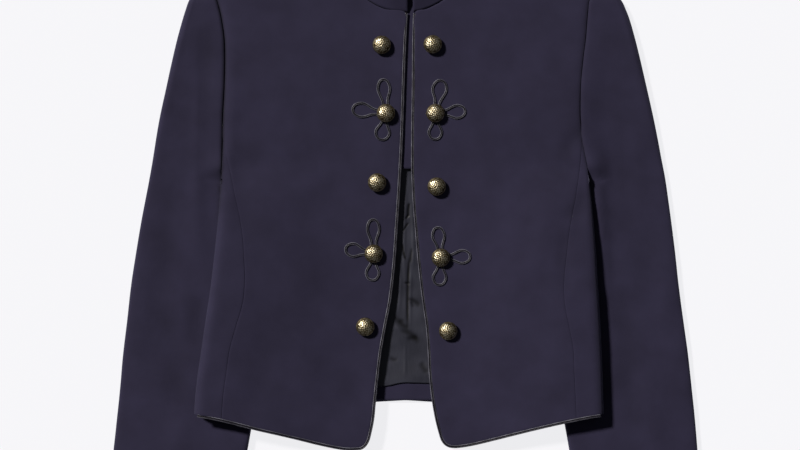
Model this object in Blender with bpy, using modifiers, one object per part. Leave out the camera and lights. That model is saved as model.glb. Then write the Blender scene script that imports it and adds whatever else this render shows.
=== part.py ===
"""Military jacket laid flat on its back, front up, both sleeves straight down.

Sizes in the tables are millimetres. +Z is up from the floor, +Y runs from the hem to the collar,
and "right" and "left" are the wearer's, so right lies at -X.
"""
import math
from functools import partial

import bmesh
import bpy
import numpy as np
from mathutils import Vector
from mathutils.bvhtree import BVHTree

MM = 0.001

# Cloth, trim and the gap at every seam
CLOTH = 2.4
SLEEVE_CLOTH = 2.2
SEAM_GAP = 0.3
HALF_GAP = SEAM_GAP / 2.0
PIPING = 2.4
PIPING_INSET = PIPING + SEAM_GAP
CORD = 1.8

# Heights above the floor
SLEEVE_THICK = 8.0
OVER_SLEEVE = 8.5
SHOULDER_FOLD = 6.0
SHOULDER_MID = 5.6

# Neck seam: one oval in front, a shallower one at the back, meeting at the shoulder seams
NECK_HALF = 73.0
NECK_POINT_Y = 310.0
FRONT_DROP = 77.0
BACK_DROP = 22.0
SHOULDER_Y = 264.6
ARMPIT_Y = 66.0
ARMHOLE_LIFT = 46.0
ARMPIT_EASE = 2.4
EASE_FROM = 6.0
RAMP = 26.0
RAMP_CLEAR = 8.0
BACK_SPREAD = 5.0

# Half-width of the body: the armhole down to the armpit, then the side fold down to the hem
SIDE_EDGE = (
    # y, right, left
    (264.6, 214.4, 208.0),
    (246.0, 203.6, 198.5),
    (237.0, 200.9, 197.2),
    (228.0, 198.8, 196.2),
    (205.0, 195.4, 194.4),
    (180.0, 194.7, 191.4),
    (150.0, 195.4, 188.8),
    (120.0, 196.9, 188.4),
    (95.0, 197.3, 190.6),
    (78.0, 197.8, 193.8),
    (66.0, 198.2, 196.0),
    (56.0, 198.8, 197.6),
    (44.0, 199.6, 199.0),
    (30.0, 200.5, 200.6),
    (14.0, 201.7, 202.1),
    (-8.0, 203.8, 203.9),
    (-30.0, 206.1, 205.4),
    (-55.0, 208.9, 206.8),
    (-80.0, 212.3, 208.4),
    (-105.0, 216.2, 209.9),
    (-130.0, 219.7, 211.1),
    (-155.0, 223.4, 212.1),
    (-180.0, 226.3, 212.9),
    (-204.0, 227.6, 213.5),
)
STATIONS = tuple(row[0] for row in SIDE_EDGE[1:-1])[::-1]

# Centre-front edges with their piping, from the neck down to the hem corner
FRONT_EDGE = (
    # y, right, left
    (233.5, 2.7, 8.1),
    (205.0, 1.2, 7.3),
    (180.0, 0.1, 7.0),
    (154.0, -0.8, 6.8),
    (120.0, -1.9, 6.3),
    (84.0, -3.2, 6.0),
    (60.0, -4.5, 6.2),
    (30.0, -6.3, 7.6),
    (2.0, -8.1, 9.8),
    (-38.0, -10.9, 13.2),
    (-78.0, -15.4, 17.8),
    (-108.0, -21.1, 22.0),
    (-134.0, -25.7, 23.9),
    (-159.0, -28.8, 25.2),
    (-187.0, -31.8, 28.4),
    (-207.0, -33.8, 32.0),
    (-221.0, -36.6, 35.6),
)

# Front hem with its piping, from the rounded corner out to the side fold
FRONT_HEM = (
    # distance from the centre, right y, left y
    (53.0, -240.0, -237.6),
    (62.0, -240.2, -236.8),
    (74.0, -238.6, -234.6),
    (95.0, -234.0, -229.4),
    (117.0, -228.3, -223.6),
    (137.0, -223.4, -218.4),
    (160.0, -217.9, -212.8),
    (182.0, -212.0, -207.9),
    (205.0, -206.5, -203.6),
    (229.0, -202.4, -202.0),
)
CORNER_STEPS = 4

# Height of the top face of the fronts
FRONT_HEIGHT = (
    # y, at the front edge, at the side
    (264.6, 11.5, 12.0),
    (150.0, 11.0, 14.0),
    (80.0, 10.6, 14.0),
    (66.0, 10.6, 14.0),
    (30.0, 10.6, 20.0),
    (-20.0, 10.6, 23.5),
    (-80.0, 11.0, 24.5),
    (-200.0, 14.0, 25.0),
    (-245.0, 14.5, 25.0),
)
RISE_FROM = 45.0
RISE_END = 18.0

# Distance of the side-front seam from the side edge, which it leaves in the armhole
SEAM_INSET = (
    # y, inset
    (95.0, 0.0),
    (78.0, 4.5),
    (66.0, 8.0),
    (30.0, 18.0),
    (0.0, 27.0),
    (-50.0, 36.0),
    (-88.0, 38.0),
    (-121.0, 31.0),
    (-153.0, 31.0),
    (-210.0, 30.0),
)

# Sleeve head, beside the armhole
SLEEVE_HEAD = (
    # y, right outer, left outer, top height
    (262.0, 220.5, 214.5, 10.0),
    (256.0, 228.6, 224.0, 11.0),
    (246.0, 234.9, 234.4, 11.6),
    (237.0, 238.0, 238.6, 12.0),
    (228.0, 240.8, 242.2, 12.0),
    (205.0, 247.2, 248.8, 12.0),
    (180.0, 253.2, 255.0, 11.5),
    (150.0, 259.8, 262.0, 11.0),
    (120.0, 266.4, 268.8, 10.0),
    (95.0, 270.9, 274.0, 9.2),
    (78.0, 273.6, 277.2, 8.6),
    (66.0, 275.6, 279.6, 8.2),
)

# Sleeve below the armpit, where its inner edge is a fold under the body
SLEEVE_ARM = (
    # y, right inner, right outer, left inner, left outer
    (56.0, 199.9, 277.4, 199.0, 281.5),
    (44.0, 187.0, 279.6, 187.0, 283.4),
    (30.0, 171.0, 282.4, 172.0, 285.3),
    (8.0, 154.0, 286.6, 157.0, 288.3),
    (-24.0, 145.0, 291.9, 149.0, 292.3),
    (-60.0, 145.0, 297.5, 149.0, 296.2),
    (-100.0, 148.5, 302.0, 153.0, 301.5),
    (-140.0, 154.0, 306.7, 159.5, 306.9),
    (-180.0, 160.5, 310.0, 166.5, 311.0),
    (-220.0, 168.2, 314.0, 174.5, 314.8),
    (-255.0, 175.0, 317.5, 181.0, 317.4),
    (-290.0, 182.5, 320.6, 188.5, 319.8),
    (-326.0, 191.0, 324.0, 197.0, 322.6),
)
HEAD_BLEND = 26.0
HEAD_TIP_FROM = 246.0
HEAD_TIP_GAP = 2.4
HEAD_TIP_SHARE = 0.6
UNDERARM_Y = 56.0
UNDERARM_TOP = 9.2
UNDERARM_UNDER = 3.8
CUFF_TILT = math.radians(8.0)
TILT_FROM = -100.0
CUFF_Y = -326.0

# How cloth turns over at a fold, as shares of the fold's depth
FOLD = (
    # inset from the fold line, rise
    (0.00, 0.00),
    (0.00, 0.20),
    (0.13, 0.50),
    (0.45, 0.85),
    (1.00, 1.00),
)

# Collar: a stand, open at the centre front, folded flat at the shoulder seams
COLLAR_HEIGHT = 37.0
COLLAR_LEAN = 0.28
COLLAR_FRONT_TOP = 15.0
COLLAR_SIDE_TOP = 8.0
COLLAR_BACK_TOP = 1.0
COLLAR_TURN = math.radians(20.0)
COLLAR_ROWS = 4
NECK_ANGLES_FRONT = (18.0, 36.0, 54.0, 72.0)
NECK_ANGLES_BACK = (180.0, 150.0, 120.0)
COLLAR_ENDS = (2.5, 8.3)

# Underlap, lining and back hem facing, seen between the fronts
UNDERLAP_Y = (64.0, 258.0)
UNDERLAP_X = (-13.0, 21.0)
UNDERLAP_CLOTH = 1.8
LINING_Y = (-166.4, 92.0)
LINING_HALF = (52.0, 34.0)
LINING_CLOTH = 1.2
BACK_HEM = (-187.0, -200.0)
FACING_HALF = 58.0
FACING_CLOTH = 1.6

# Buttons, from the neck down
BUTTONS = (
    # right x, right y, left x, left y
    (-25.6, 197.6, 29.4, 198.2),
    (-21.1, 123.9, 32.3, 123.9),
    (-30.6, 49.1, 33.7, 44.7),
    (-34.3, -27.8, 38.1, -32.0),
    (-43.4, -106.5, 46.1, -111.0),
)
BUTTON_RADIUS = 10.0
SHANK_RADIUS = 3.0
SHANK_HEIGHT = 2.7
DOME = (
    # share of the button's radius, height above the shank
    (0.00, 6.0),
    (0.50, 5.1),
    (0.84, 2.9),
    (1.00, 0.9),
    (0.94, 0.0),
)
BUTTON_STEPS = 18

# Cord loops round the second and fourth buttons: the tip of each loop from the button, its width
FROGS = (
    # side, button, up loop, outward loop, down loop
    ("right", 2, (-3.2, 36.6, 13.0), (-36.0, 5.0, 15.0), (-5.2, -28.3, 15.0)),
    ("left", 2, (6.0, 35.6, 15.0), (32.0, 2.4, 14.0), (-0.4, -28.0, 14.0)),
    ("right", 4, (-0.8, 37.0, 13.0), (-30.4, 5.6, 14.0), (-1.8, -28.4, 14.0)),
    ("left", 4, (-3.6, 32.6, 13.0), (31.6, 1.4, 14.0), (-1.9, -29.4, 14.0)),
)
CROTCH_RADIUS = 5.2
CROTCH_ANGLES = (180.0, 45.0, -45.0)
LEG_HALF = 2.7
CORD_POINTS = 44

SIDES = {"right": -1, "left": 1}


def smoothstep(value):
    """Ease from 0 to 1."""
    value = min(max(value, 0.0), 1.0)
    return value * value * (3.0 - 2.0 * value)


def read(table, where, column):
    """Value of a table's column, straight from row to row."""
    rows = sorted(table)
    return float(np.interp(where, [row[0] for row in rows], [row[column] for row in rows]))


def side_edge(y, sign):
    """Half-width of the body at height y."""
    return read(SIDE_EDGE, y, 1 if sign < 0 else 2)


def sleeve_inner(y, sign):
    """Half-width where the sleeve begins: the armhole, and below it the fold under the body."""
    if y >= ARMPIT_Y:
        tip = max(0.0, y - HEAD_TIP_FROM) / (SHOULDER_Y - HEAD_TIP_FROM)
        return side_edge(y, sign) + SEAM_GAP + HEAD_TIP_GAP * tip
    column = 1 if sign < 0 else 3
    armpit = (ARMPIT_Y, side_edge(ARMPIT_Y, sign) + SEAM_GAP)
    rows = (armpit,) + tuple((row[0], row[column]) for row in SLEEVE_ARM)
    return read(rows, y, 1)


def front_top(x, y, sign, rise=1.0):
    """Height of the fronts' top face; rise is below 1 where they turn down at the shoulder."""
    low = read(FRONT_HEIGHT, y, 1)
    high = read(FRONT_HEIGHT, y, 2)
    span = side_edge(y, sign) - RISE_END - RISE_FROM
    plateau = low + (high - low) * smoothstep((abs(x) - RISE_FROM) / span)
    end = SHOULDER_MID + HALF_GAP
    return end + (plateau - end) * rise


def back_bottom(x, y, sign, rise=1.0):
    """Height of the back's under face: on the floor, then up onto the sleeve."""
    over = smoothstep((abs(x) - sleeve_inner(y, sign) + RAMP + RAMP_CLEAR) / RAMP)
    lift = smoothstep((ARMPIT_Y + ARMHOLE_LIFT - y) / ARMHOLE_LIFT)
    end = SHOULDER_MID - HALF_GAP
    return end + (OVER_SLEEVE * over * lift - end) * rise


def half_gap(y):
    """Half the gap between two sheets along a fold, wider where the fold begins at the armpit."""
    return HALF_GAP + ARMPIT_EASE * min(max((y - EASE_FROM) / (ARMPIT_Y - EASE_FROM), 0.0), 1.0)


def side_fold(y, sign):
    """Radius and middle height of the fold at the body's side."""
    under = back_bottom(side_edge(y, sign), y, sign)
    top = read(FRONT_HEIGHT, y, 2)
    return (top - under) / 2.0, (under + top) / 2.0


def neck_point(degrees, sign, gap=0.0):
    """Plan point of the neck seam; 0 is the centre front and 180 the centre back."""
    angle = math.radians(degrees)
    drop = FRONT_DROP if degrees < 90.0 else -BACK_DROP
    y = NECK_POINT_Y - drop * math.cos(angle)
    return Vector((sign * (NECK_HALF - gap) * math.sin(angle), y + gap))


def lengths_along(points):
    """Distance of each plan point from the first, along the line."""
    steps = [(b - a).length for a, b in zip(points, points[1:])]
    return np.concatenate(([0.0], np.cumsum(steps)))


def point_at(points, where):
    """Plan point at a distance along a line."""
    along = lengths_along(points)
    return Vector([float(np.interp(where, along, [p[axis] for p in points])) for axis in (0, 1)])


def resample(points, count):
    """Even points along a plan line, both ends kept."""
    end = lengths_along(points)[-1]
    return [point_at(points, where) for where in np.linspace(0.0, end, count)]


def shoulder_turn(points, depth=SHOULDER_FOLD):
    """Points along the last stretch of a line that ends at the shoulder seam, each with its rise."""
    end = lengths_along(points)[-1]
    return [(point_at(points, end - inset * depth), rise) for inset, rise in reversed(FOLD)]


def inset_line(points, distance, sign):
    """A plan line of the front moved into the cloth."""
    moved = []
    for i, point in enumerate(points):
        along = (points[min(i + 1, len(points) - 1)] - points[max(i - 1, 0)]).normalized()
        moved.append(point + Vector((-along.y, along.x)) * distance * sign)
    return moved


def front_outline(sign, inset):
    """Edge of a front from neck to hem corner, and from there to the side fold, moved in."""
    column = 1 if sign < 0 else 2
    edge = [Vector((row[column], row[0])) for row in FRONT_EDGE]
    hem = [Vector((sign * row[0], row[column])) for row in FRONT_HEM]
    control = Vector((edge[-1].x + sign * 3.4, hem[0].y - 0.6))
    corner = []
    for step in range(1, CORNER_STEPS):
        t = step / CORNER_STEPS
        corner.append(edge[-1] * (1 - t) ** 2 + control * 2 * t * (1 - t) + hem[0] * t**2)
    line = inset_line(edge + corner + hem, inset, sign)
    middle = len(edge) + CORNER_STEPS // 2
    return line[:middle], line[middle - 1:]


def hem_height(hem, x):
    """Height of the front hem at a plan x."""
    rows = sorted((abs(p.x), p.y) for p in hem)
    return float(np.interp(abs(x), [row[0] for row in rows], [row[1] for row in rows]))


def seam_line(sign, hem):
    """Outer edge of a front, from the hem up the side-front seam and the armhole."""
    x = side_edge(SIDE_EDGE[-1][0], sign) - SEAM_INSET[-1][1]
    line = [Vector((sign * x, hem_height(hem, x)))]
    for y in STATIONS:
        line.append(Vector((sign * (side_edge(y, sign) - read(SEAM_INSET, y, 1)), y)))
    return line


def front_grid(sign):
    """Outer points of a front, hem to shoulder."""
    edge, hem = front_outline(sign, PIPING_INSET)
    start = math.degrees(math.asin(abs(edge[0].x) / NECK_HALF)) if sign > 0 else 0.0
    edge[0] = Vector((edge[0].x, neck_point(start, sign).y))
    neck = [neck_point(degrees, sign) for degrees in (start,) + NECK_ANGLES_FRONT]
    neck_end = [neck[-1], neck_point(81.0, sign), neck_point(89.999, sign)]
    outer = seam_line(sign, hem)
    tip = Vector((sign * side_edge(SHOULDER_Y, sign), SHOULDER_Y))
    left_line = [(p, 1.0) for p in edge[::-1] + neck[1:]] + shoulder_turn(neck_end)
    right_line = [(p, 1.0) for p in outer] + shoulder_turn([outer[-1], tip])
    bottom = [p for p in hem if abs(p.x) < abs(outer[0].x) - 2.0] + [outer[0]]
    width = bottom[-1].x - bottom[0].x
    rows = []
    for j, ((a, rise), (b, _)) in enumerate(zip(left_line, right_line, strict=True)):
        fade = (1.0 - j / (len(left_line) - 1)) ** 2
        row = []
        for low in bottom:
            u = (low.x - bottom[0].x) / width
            straight = bottom[0].lerp(bottom[-1], u)
            p = a.lerp(b, u) + (low - straight) * fade
            row.append((p.x, p.y, front_top(p.x, p.y, sign, rise)))
        rows.append(row)
    return rows


def edge_columns(x_edge, y, height, end, depth, spread, sign):
    """Points up to a side edge: the turn of its fold, or evenly spread along the armhole."""
    points = []
    for k, (inset, rise) in enumerate(reversed(FOLD)):
        if y < ARMPIT_Y:
            x = x_edge - depth * inset
            z = end + (height(x, y) - end) * rise
        else:
            x = x_edge - spread * (1.0 - k / (len(FOLD) - 1))
            z = height(x, y)
        points.append((sign * x, y, z))
    return points


def side_front_grid(sign):
    """Outer points of the side-front panel, from the hem up to its point in the armhole."""
    _, hem = front_outline(sign, PIPING_INSET)
    outer = [p for p in seam_line(sign, hem) if p.y < SEAM_INSET[0][0]]
    apex = outer[-1].lerp(Vector((sign * side_edge(95.0, sign), 95.0)), 0.7)
    rows = []
    for j, seam in enumerate(outer + [apex]):
        y = seam.y
        edge = side_edge(y, sign)
        inner = abs(seam.x) + SEAM_GAP
        radius, middle = side_fold(y, sign)
        depth = min(radius, (edge - inner) * 0.6)
        spread = (edge - inner) * 0.8
        height = partial(front_top, sign=sign)
        turn = edge_columns(edge, y, height, middle + half_gap(y), depth, spread, sign)
        first = sign * inner
        between = (first + turn[0][0]) / 2.0
        row = [(x, y, height(x, y)) for x in (first, between)] + turn
        if j == 0:
            row = [(x, hem_height(hem, x), z) for x, _, z in row]
        rows.append(row)
    return rows


def back_grid(sign):
    """Outer points of a back half, hem to shoulder."""
    centre = sign * HALF_GAP
    count = len(STATIONS) + 1
    neck = [neck_point(degrees, sign) for degrees in NECK_ANGLES_BACK]
    spine = np.linspace(BACK_HEM[0], neck[0].y, count - len(neck) + 1)
    inner = [(Vector((centre, y)), 1.0) for y in spine] + [(p, 1.0) for p in neck[1:]]
    inner += shoulder_turn([neck[-1], neck_point(100.0, sign), neck_point(90.0, sign)])
    tip = Vector((side_edge(SHOULDER_Y, sign), SHOULDER_Y))
    outer = [Vector((side_edge(BACK_HEM[1], sign), BACK_HEM[1]))]
    outer += [Vector((side_edge(y, sign), y)) for y in STATIONS]
    sides = [(p, 1.0) for p in outer] + shoulder_turn([outer[-1], tip])
    rows = []
    for (a, rise), (b, _) in zip(inner, sides, strict=True):
        start = abs(a.x)
        clear = sleeve_inner(b.y, sign) - RAMP_CLEAR
        radius, middle = side_fold(b.y, sign)
        height = partial(back_bottom, sign=sign, rise=rise)
        turn = edge_columns(b.x, b.y, height, middle - half_gap(b.y), radius, BACK_SPREAD, sign)
        last = abs(turn[0][0])
        ramp_end = min(clear, last - 2.0)
        ramp_start = ramp_end - RAMP
        xs = list(np.linspace(start, ramp_start, 4))
        xs += list(np.linspace(ramp_start, ramp_end, 4))[1:]
        xs += [(ramp_end + last) / 2.0]
        row = []
        for x in xs:
            y = a.y + (b.y - a.y) * (x - start) / (b.x - start)
            row.append((sign * x, y, height(x, y)))
        rows.append(row + turn)
    return rows


def sleeve_stations(sign):
    """Sleeve rows from the head down: y, inner, outer, top height and how folded the inner edge is."""
    outer = 1 if sign < 0 else 2
    rows = [(row[0], sleeve_inner(row[0], sign), row[outer], row[3], False) for row in SLEEVE_HEAD]
    inner = 1 if sign < 0 else 3
    for row in SLEEVE_ARM:
        rows.append((row[0], row[inner], row[inner + 1], SLEEVE_THICK, row[0] < UNDERARM_Y))
    return rows


def sleeve_seam_height(inner, y, sign, upper):
    """Height of a sleeve sheet where it meets the armhole, or turns under it at the armpit."""
    if y < ARMPIT_Y:
        return UNDERARM_TOP if upper else UNDERARM_UNDER
    return front_top(inner, y, sign) if upper else back_bottom(inner, y, sign)


def sleeve_grid(sign, upper):
    """Outer points of a sleeve's top or under sheet."""
    way = 1.0 if upper else -1.0
    rows = []
    for y, inner, outer, top, folded in sleeve_stations(sign):
        flat = top if upper else 0.0
        middle = top / 2.0 + way * HALF_GAP
        inner_end = top / 2.0 + way * half_gap(y)
        edge = sleeve_seam_height(inner, y, sign, upper)
        near = shoulder_share(y)
        edge = SHOULDER_MID + way * HALF_GAP + (edge - SHOULDER_MID - way * HALF_GAP) * near
        flat = SHOULDER_MID + way * HALF_GAP + (flat - SHOULDER_MID - way * HALF_GAP) * near
        blend = min(HEAD_BLEND, (outer - inner) * 0.5)
        depth = min(top / 2.0, (outer - inner) * 0.3)
        row = []
        for k, (inset, rise) in enumerate(FOLD):
            even = k / (len(FOLD) - 1)
            x = inner + (depth * inset if folded else blend * even)
            if folded:
                z = inner_end + (flat - inner_end) * rise
            else:
                z = edge + (flat - edge) * smoothstep(even)
            row.append((x, z))
        first = row[-1][0]
        last = outer - depth
        row += [(first + (last - first) * t, flat) for t in (0.25, 0.5, 0.75)]
        end = SHOULDER_MID + way * HALF_GAP + (middle - SHOULDER_MID - way * HALF_GAP) * near
        row += [(outer - depth * inset, end + (flat - end) * rise) for inset, rise in reversed(FOLD)]
        tilt = math.tan(CUFF_TILT * smoothstep((TILT_FROM - y) / (TILT_FROM - CUFF_Y)))
        centre = (inner + outer) / 2.0
        rows.append([(sign * x, y + tilt * (x - centre), z) for x, z in row])
    return rows


def shoulder_share(y):
    """Share of the sleeve head's height that is left near its top end."""
    top = SLEEVE_HEAD[0][0]
    share = (top - y) / (top - HEAD_TIP_FROM)
    return min(1.0, HEAD_TIP_SHARE + (1.0 - HEAD_TIP_SHARE) * share)


def collar_top(degrees, base, sign):
    """Top edge of the collar above a point of the neck seam."""
    angle = math.radians(degrees)
    if degrees < 90.0:
        z = COLLAR_SIDE_TOP + COLLAR_FRONT_TOP * math.cos(angle)
    else:
        turned = max(0.0, 1.0 - (angle - math.pi / 2) / COLLAR_TURN)
        z = COLLAR_BACK_TOP + (COLLAR_SIDE_TOP - COLLAR_BACK_TOP) * turned**2
    lean = COLLAR_LEAN * math.sin(angle)
    rise = (z - base.z) / COLLAR_HEIGHT
    up = math.sqrt(max(1.0 - lean**2 - rise**2, 0.0))
    return Vector((base.x - sign * COLLAR_HEIGHT * lean, base.y + COLLAR_HEIGHT * up, z))


def collar_half(sign, end_x):
    """Stations of half the collar, centre front to centre back, as angle and seam point."""
    start = math.degrees(math.asin(end_x / NECK_HALF))
    stations = []
    for degrees in (start,) + NECK_ANGLES_FRONT:
        p = neck_point(degrees, sign, SEAM_GAP)
        stations.append((degrees, Vector((p.x, p.y, front_top(p.x, p.y, sign)))))
    front = [neck_point(d, sign, SEAM_GAP) for d in (72.0, 81.0, 89.999)]
    back = [neck_point(d, sign, SEAM_GAP) for d in (120.0, 100.0, 90.0)]
    for p, rise in shoulder_turn(front)[:-1]:
        degrees = 90.0 - math.degrees((NECK_POINT_Y - p.y) / FRONT_DROP) - 0.02
        stations.append((degrees, Vector((p.x, p.y, front_top(p.x, p.y, sign, rise)))))
    for p, rise in shoulder_turn(back)[:-1][::-1]:
        degrees = 90.02 + math.degrees((NECK_POINT_Y - p.y + SEAM_GAP) / FRONT_DROP)
        stations.append((degrees, Vector((p.x, p.y, back_bottom(p.x, p.y, sign, rise)))))
    for degrees in NECK_ANGLES_BACK[::-1]:
        p = neck_point(degrees, sign, SEAM_GAP)
        stations.append((degrees, Vector((p.x, p.y, 0.0))))
    return stations


def collar_grid():
    """Outer points of the collar, right front end round the back to the left front end."""
    stations = [(-1, s) for s in collar_half(-1, -COLLAR_ENDS[0])]
    stations += [(1, s) for s in collar_half(1, COLLAR_ENDS[1])[::-1][1:]]
    rows = []
    for row in range(COLLAR_ROWS + 1):
        t = row / COLLAR_ROWS
        rows.append([base.lerp(collar_top(d, base, sign), t) for sign, (d, base) in stations])
    return rows


def flat_grid(xs, ys, height):
    """Grid of a level piece; xs gives the ends of a row from its y, and height its top face."""
    rows = []
    for y in ys:
        low, high = xs(y)
        rows.append([(x, y, height(y)) for x in np.linspace(low, high, 4)])
    return rows


def material(name, colour, roughness, metallic=0.0):
    """A plain Principled material."""
    made = bpy.data.materials.new(name)
    made.use_nodes = True
    shader = made.node_tree.nodes["Principled BSDF"]
    shader.inputs["Base Color"].default_value = (*colour, 1.0)
    shader.inputs["Roughness"].default_value = roughness
    shader.inputs["Metallic"].default_value = metallic
    made.diffuse_color = (*colour, 1.0)
    return made


def place(obj, finish):
    """Put an object in the jacket's collection with a finish of its own."""
    obj.data.materials.append(finish.copy())
    bpy.data.collections["military_jacket"].objects.link(obj)
    return obj


def sheet(name, rows, thickness, finish, outward):
    """Cloth through a grid of outer points, with its wall on the inner side."""
    shaped = bmesh.new()
    grid = [[shaped.verts.new(Vector(point) * MM) for point in row] for row in rows]
    for lower, upper in zip(grid, grid[1:]):
        for i in range(len(lower) - 1):
            shaped.faces.new((lower[i], lower[i + 1], upper[i + 1], upper[i]))
    shaped.normal_update()
    facing = sum((face.normal * face.calc_area() for face in shaped.faces), Vector())
    if facing.z * outward < 0:
        bmesh.ops.reverse_faces(shaped, faces=shaped.faces)
    mesh = bpy.data.meshes.new(name)
    shaped.to_mesh(mesh)
    shaped.free()
    mesh.shade_smooth()
    obj = place(bpy.data.objects.new(name, mesh), finish)
    wall = obj.modifiers.new("wall", "SOLIDIFY")
    wall.thickness = thickness * MM
    wall.offset = -1.0
    return obj


def tube(name, points, diameter, finish, cyclic=False):
    """A cord or piping along points."""
    curve = bpy.data.curves.new(name, "CURVE")
    curve.dimensions = "3D"
    curve.bevel_depth = diameter / 2.0 * MM
    curve.bevel_resolution = 1
    curve.use_fill_caps = not cyclic
    spline = curve.splines.new("POLY")
    spline.points.add(len(points) - 1)
    for slot, point in zip(spline.points, points):
        slot.co = (*(Vector(point) * MM), 1.0)
    spline.use_cyclic_u = cyclic
    return place(bpy.data.objects.new(name, curve), finish)


def make_piping(side, sign, finish):
    """Piping down the front edge, round the corner and along the hem to the side fold."""
    edge, hem = front_outline(sign, PIPING / 2.0)
    edge[0].y -= 1.4
    end = side_edge(hem[-1].y, sign) - 10.0
    hem = [p for p in hem if abs(p.x) < end] + [Vector((sign * end, hem_height(hem, end)))]
    line = edge + hem[1:]
    points = [(p.x, p.y, front_top(p.x, p.y, sign) - CLOTH / 2.0) for p in line]
    return tube(f"piping_{side}", points, PIPING, finish)


def make_button(name, x, y, base, finish):
    """A domed button on a shank, turned about its own axis."""
    profile = [(share * BUTTON_RADIUS, SHANK_HEIGHT + height) for share, height in DOME]
    profile += [(SHANK_RADIUS, SHANK_HEIGHT), (SHANK_RADIUS, 0.0), (0.0, 0.0)]
    mesh = bpy.data.meshes.new(name)
    points = [(radius * MM, 0.0, height * MM) for radius, height in profile]
    mesh.from_pydata(points, [(i, i + 1) for i in range(len(points) - 1)], [])
    obj = place(bpy.data.objects.new(name, mesh), finish)
    obj.location = Vector((x, y, base)) * MM
    turn = obj.modifiers.new("turn", "SCREW")
    turn.steps = BUTTON_STEPS
    turn.render_steps = BUTTON_STEPS
    turn.use_merge_vertices = True
    turn.merge_threshold = 0.00001
    turn.use_smooth_shade = True
    return obj


def surface_of(obj):
    """Search tree of an object's finished surface."""
    graph = bpy.context.evaluated_depsgraph_get()
    return BVHTree.FromObject(obj, graph)


def height_on(tree, x, y, reach):
    """Highest point of a surface within reach of a plan point."""
    heights = []
    for dx, dy in ((0, 0), (reach, 0), (-reach, 0), (0, reach), (0, -reach)):
        hit = tree.ray_cast(Vector((x + dx, y + dy, 100.0)) * MM, Vector((0, 0, -1)))[0]
        if hit is not None:
            heights.append(hit.z / MM)
    return max(heights)


def smooth_loop(points, count):
    """Even points on a smooth closed curve through the given ones."""
    fine = []
    total = len(points)
    for i in range(total):
        p0, p1, p2, p3 = (points[(i + k) % total] for k in (-1, 0, 1, 2))
        for step in range(10):
            t = step / 10
            fine.append(
                0.5 * (2 * p1 + (p2 - p0) * t + (2 * p0 - 5 * p1 + 4 * p2 - p3) * t**2
                       + (3 * p1 - p0 - 3 * p2 + p3) * t**3)
            )
    fine.append(fine[0])
    return resample(fine, count + 1)[:-1]


def frog_path(loops, sign):
    """Plan route of one cord round its three loops, from the button's centre."""
    points = []
    for before, (x, y, width) in zip(CROTCH_ANGLES, loops):
        angle = math.radians(before)
        tip = Vector((x, y))
        across = Vector((y, -x)).normalized() * sign
        points.append(Vector((sign * math.cos(angle), math.sin(angle))) * CROTCH_RADIUS)
        for along, half in ((0.34, LEG_HALF), (0.74, width / 2.0)):
            points.append(tip * along - across * half)
        points.append(tip)
        for along, half in ((0.74, width / 2.0), (0.34, LEG_HALF)):
            points.append(tip * along + across * half)
    return smooth_loop(points, CORD_POINTS)


def make_frog(side, number, loops, front, finish):
    """A cord laid in three loops round a button."""
    sign = SIDES[side]
    x, y = button_place(side, number)
    points = []
    for p in frog_path(loops, sign):
        base = height_on(front, x + p.x, y + p.y, CORD / 2.0)
        points.append((x + p.x, y + p.y, base + SEAM_GAP + CORD / 2.0))
    return tube(f"frog_{side}_{number}", points, CORD, finish, cyclic=True)


def button_place(side, number):
    """Plan place of a button."""
    row = BUTTONS[number - 1]
    return row[0:2] if side == "right" else row[2:4]


def build_trim(side, sign, front, trim, brass):
    """Buttons, cord loops and piping of one front."""
    for number in range(1, len(BUTTONS) + 1):
        x, y = button_place(side, number)
        base = height_on(front, x, y, SHANK_RADIUS) + SEAM_GAP
        make_button(f"button_{side}_{number}", x, y, base, brass)
    for frog_side, number, *loops in FROGS:
        if frog_side == side:
            make_frog(side, number, loops, front, trim)
    make_piping(side, sign, trim)


def build_inside(cloth, satin):
    """Underlap, back lining and back hem facing."""
    def underlap_height(y):
        return read(FRONT_HEIGHT, y, 1) - CLOTH - SEAM_GAP

    def lining_ends(y):
        half = np.interp(y, LINING_Y, LINING_HALF)
        return -half, half

    above_back = CLOTH + SEAM_GAP
    rows = flat_grid(lambda y: UNDERLAP_X, np.linspace(*UNDERLAP_Y, 12), underlap_height)
    sheet("underlap", rows, UNDERLAP_CLOTH, cloth, 1)
    rows = flat_grid(lining_ends, np.linspace(*LINING_Y, 12), lambda y: above_back + LINING_CLOTH)
    sheet("back_lining", rows, LINING_CLOTH, satin, 1)
    hem = np.linspace(BACK_HEM[0] + HALF_GAP, LINING_Y[0] - SEAM_GAP, 4)
    rows = flat_grid(lambda y: (-FACING_HALF, FACING_HALF), hem, lambda y: above_back + FACING_CLOTH)
    sheet("back_hem_facing", rows, FACING_CLOTH, cloth, 1)


def centre_on_floor():
    """Move the whole jacket so that its box stands centred on the origin."""
    bpy.context.view_layer.update()
    graph = bpy.context.evaluated_depsgraph_get()
    objects = list(bpy.data.collections["military_jacket"].objects)
    corners = []
    for obj in objects:
        whole = obj.evaluated_get(graph)
        made = whole.to_mesh()
        corners += [whole.matrix_world @ vertex.co for vertex in made.vertices]
        whole.to_mesh_clear()
    low = [min(c[axis] for c in corners) for axis in range(3)]
    high = [max(c[axis] for c in corners) for axis in range(3)]
    shift = Vector(((low[0] + high[0]) / 2.0, (low[1] + high[1]) / 2.0, low[2]))
    for obj in objects:
        obj.location -= shift


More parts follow.
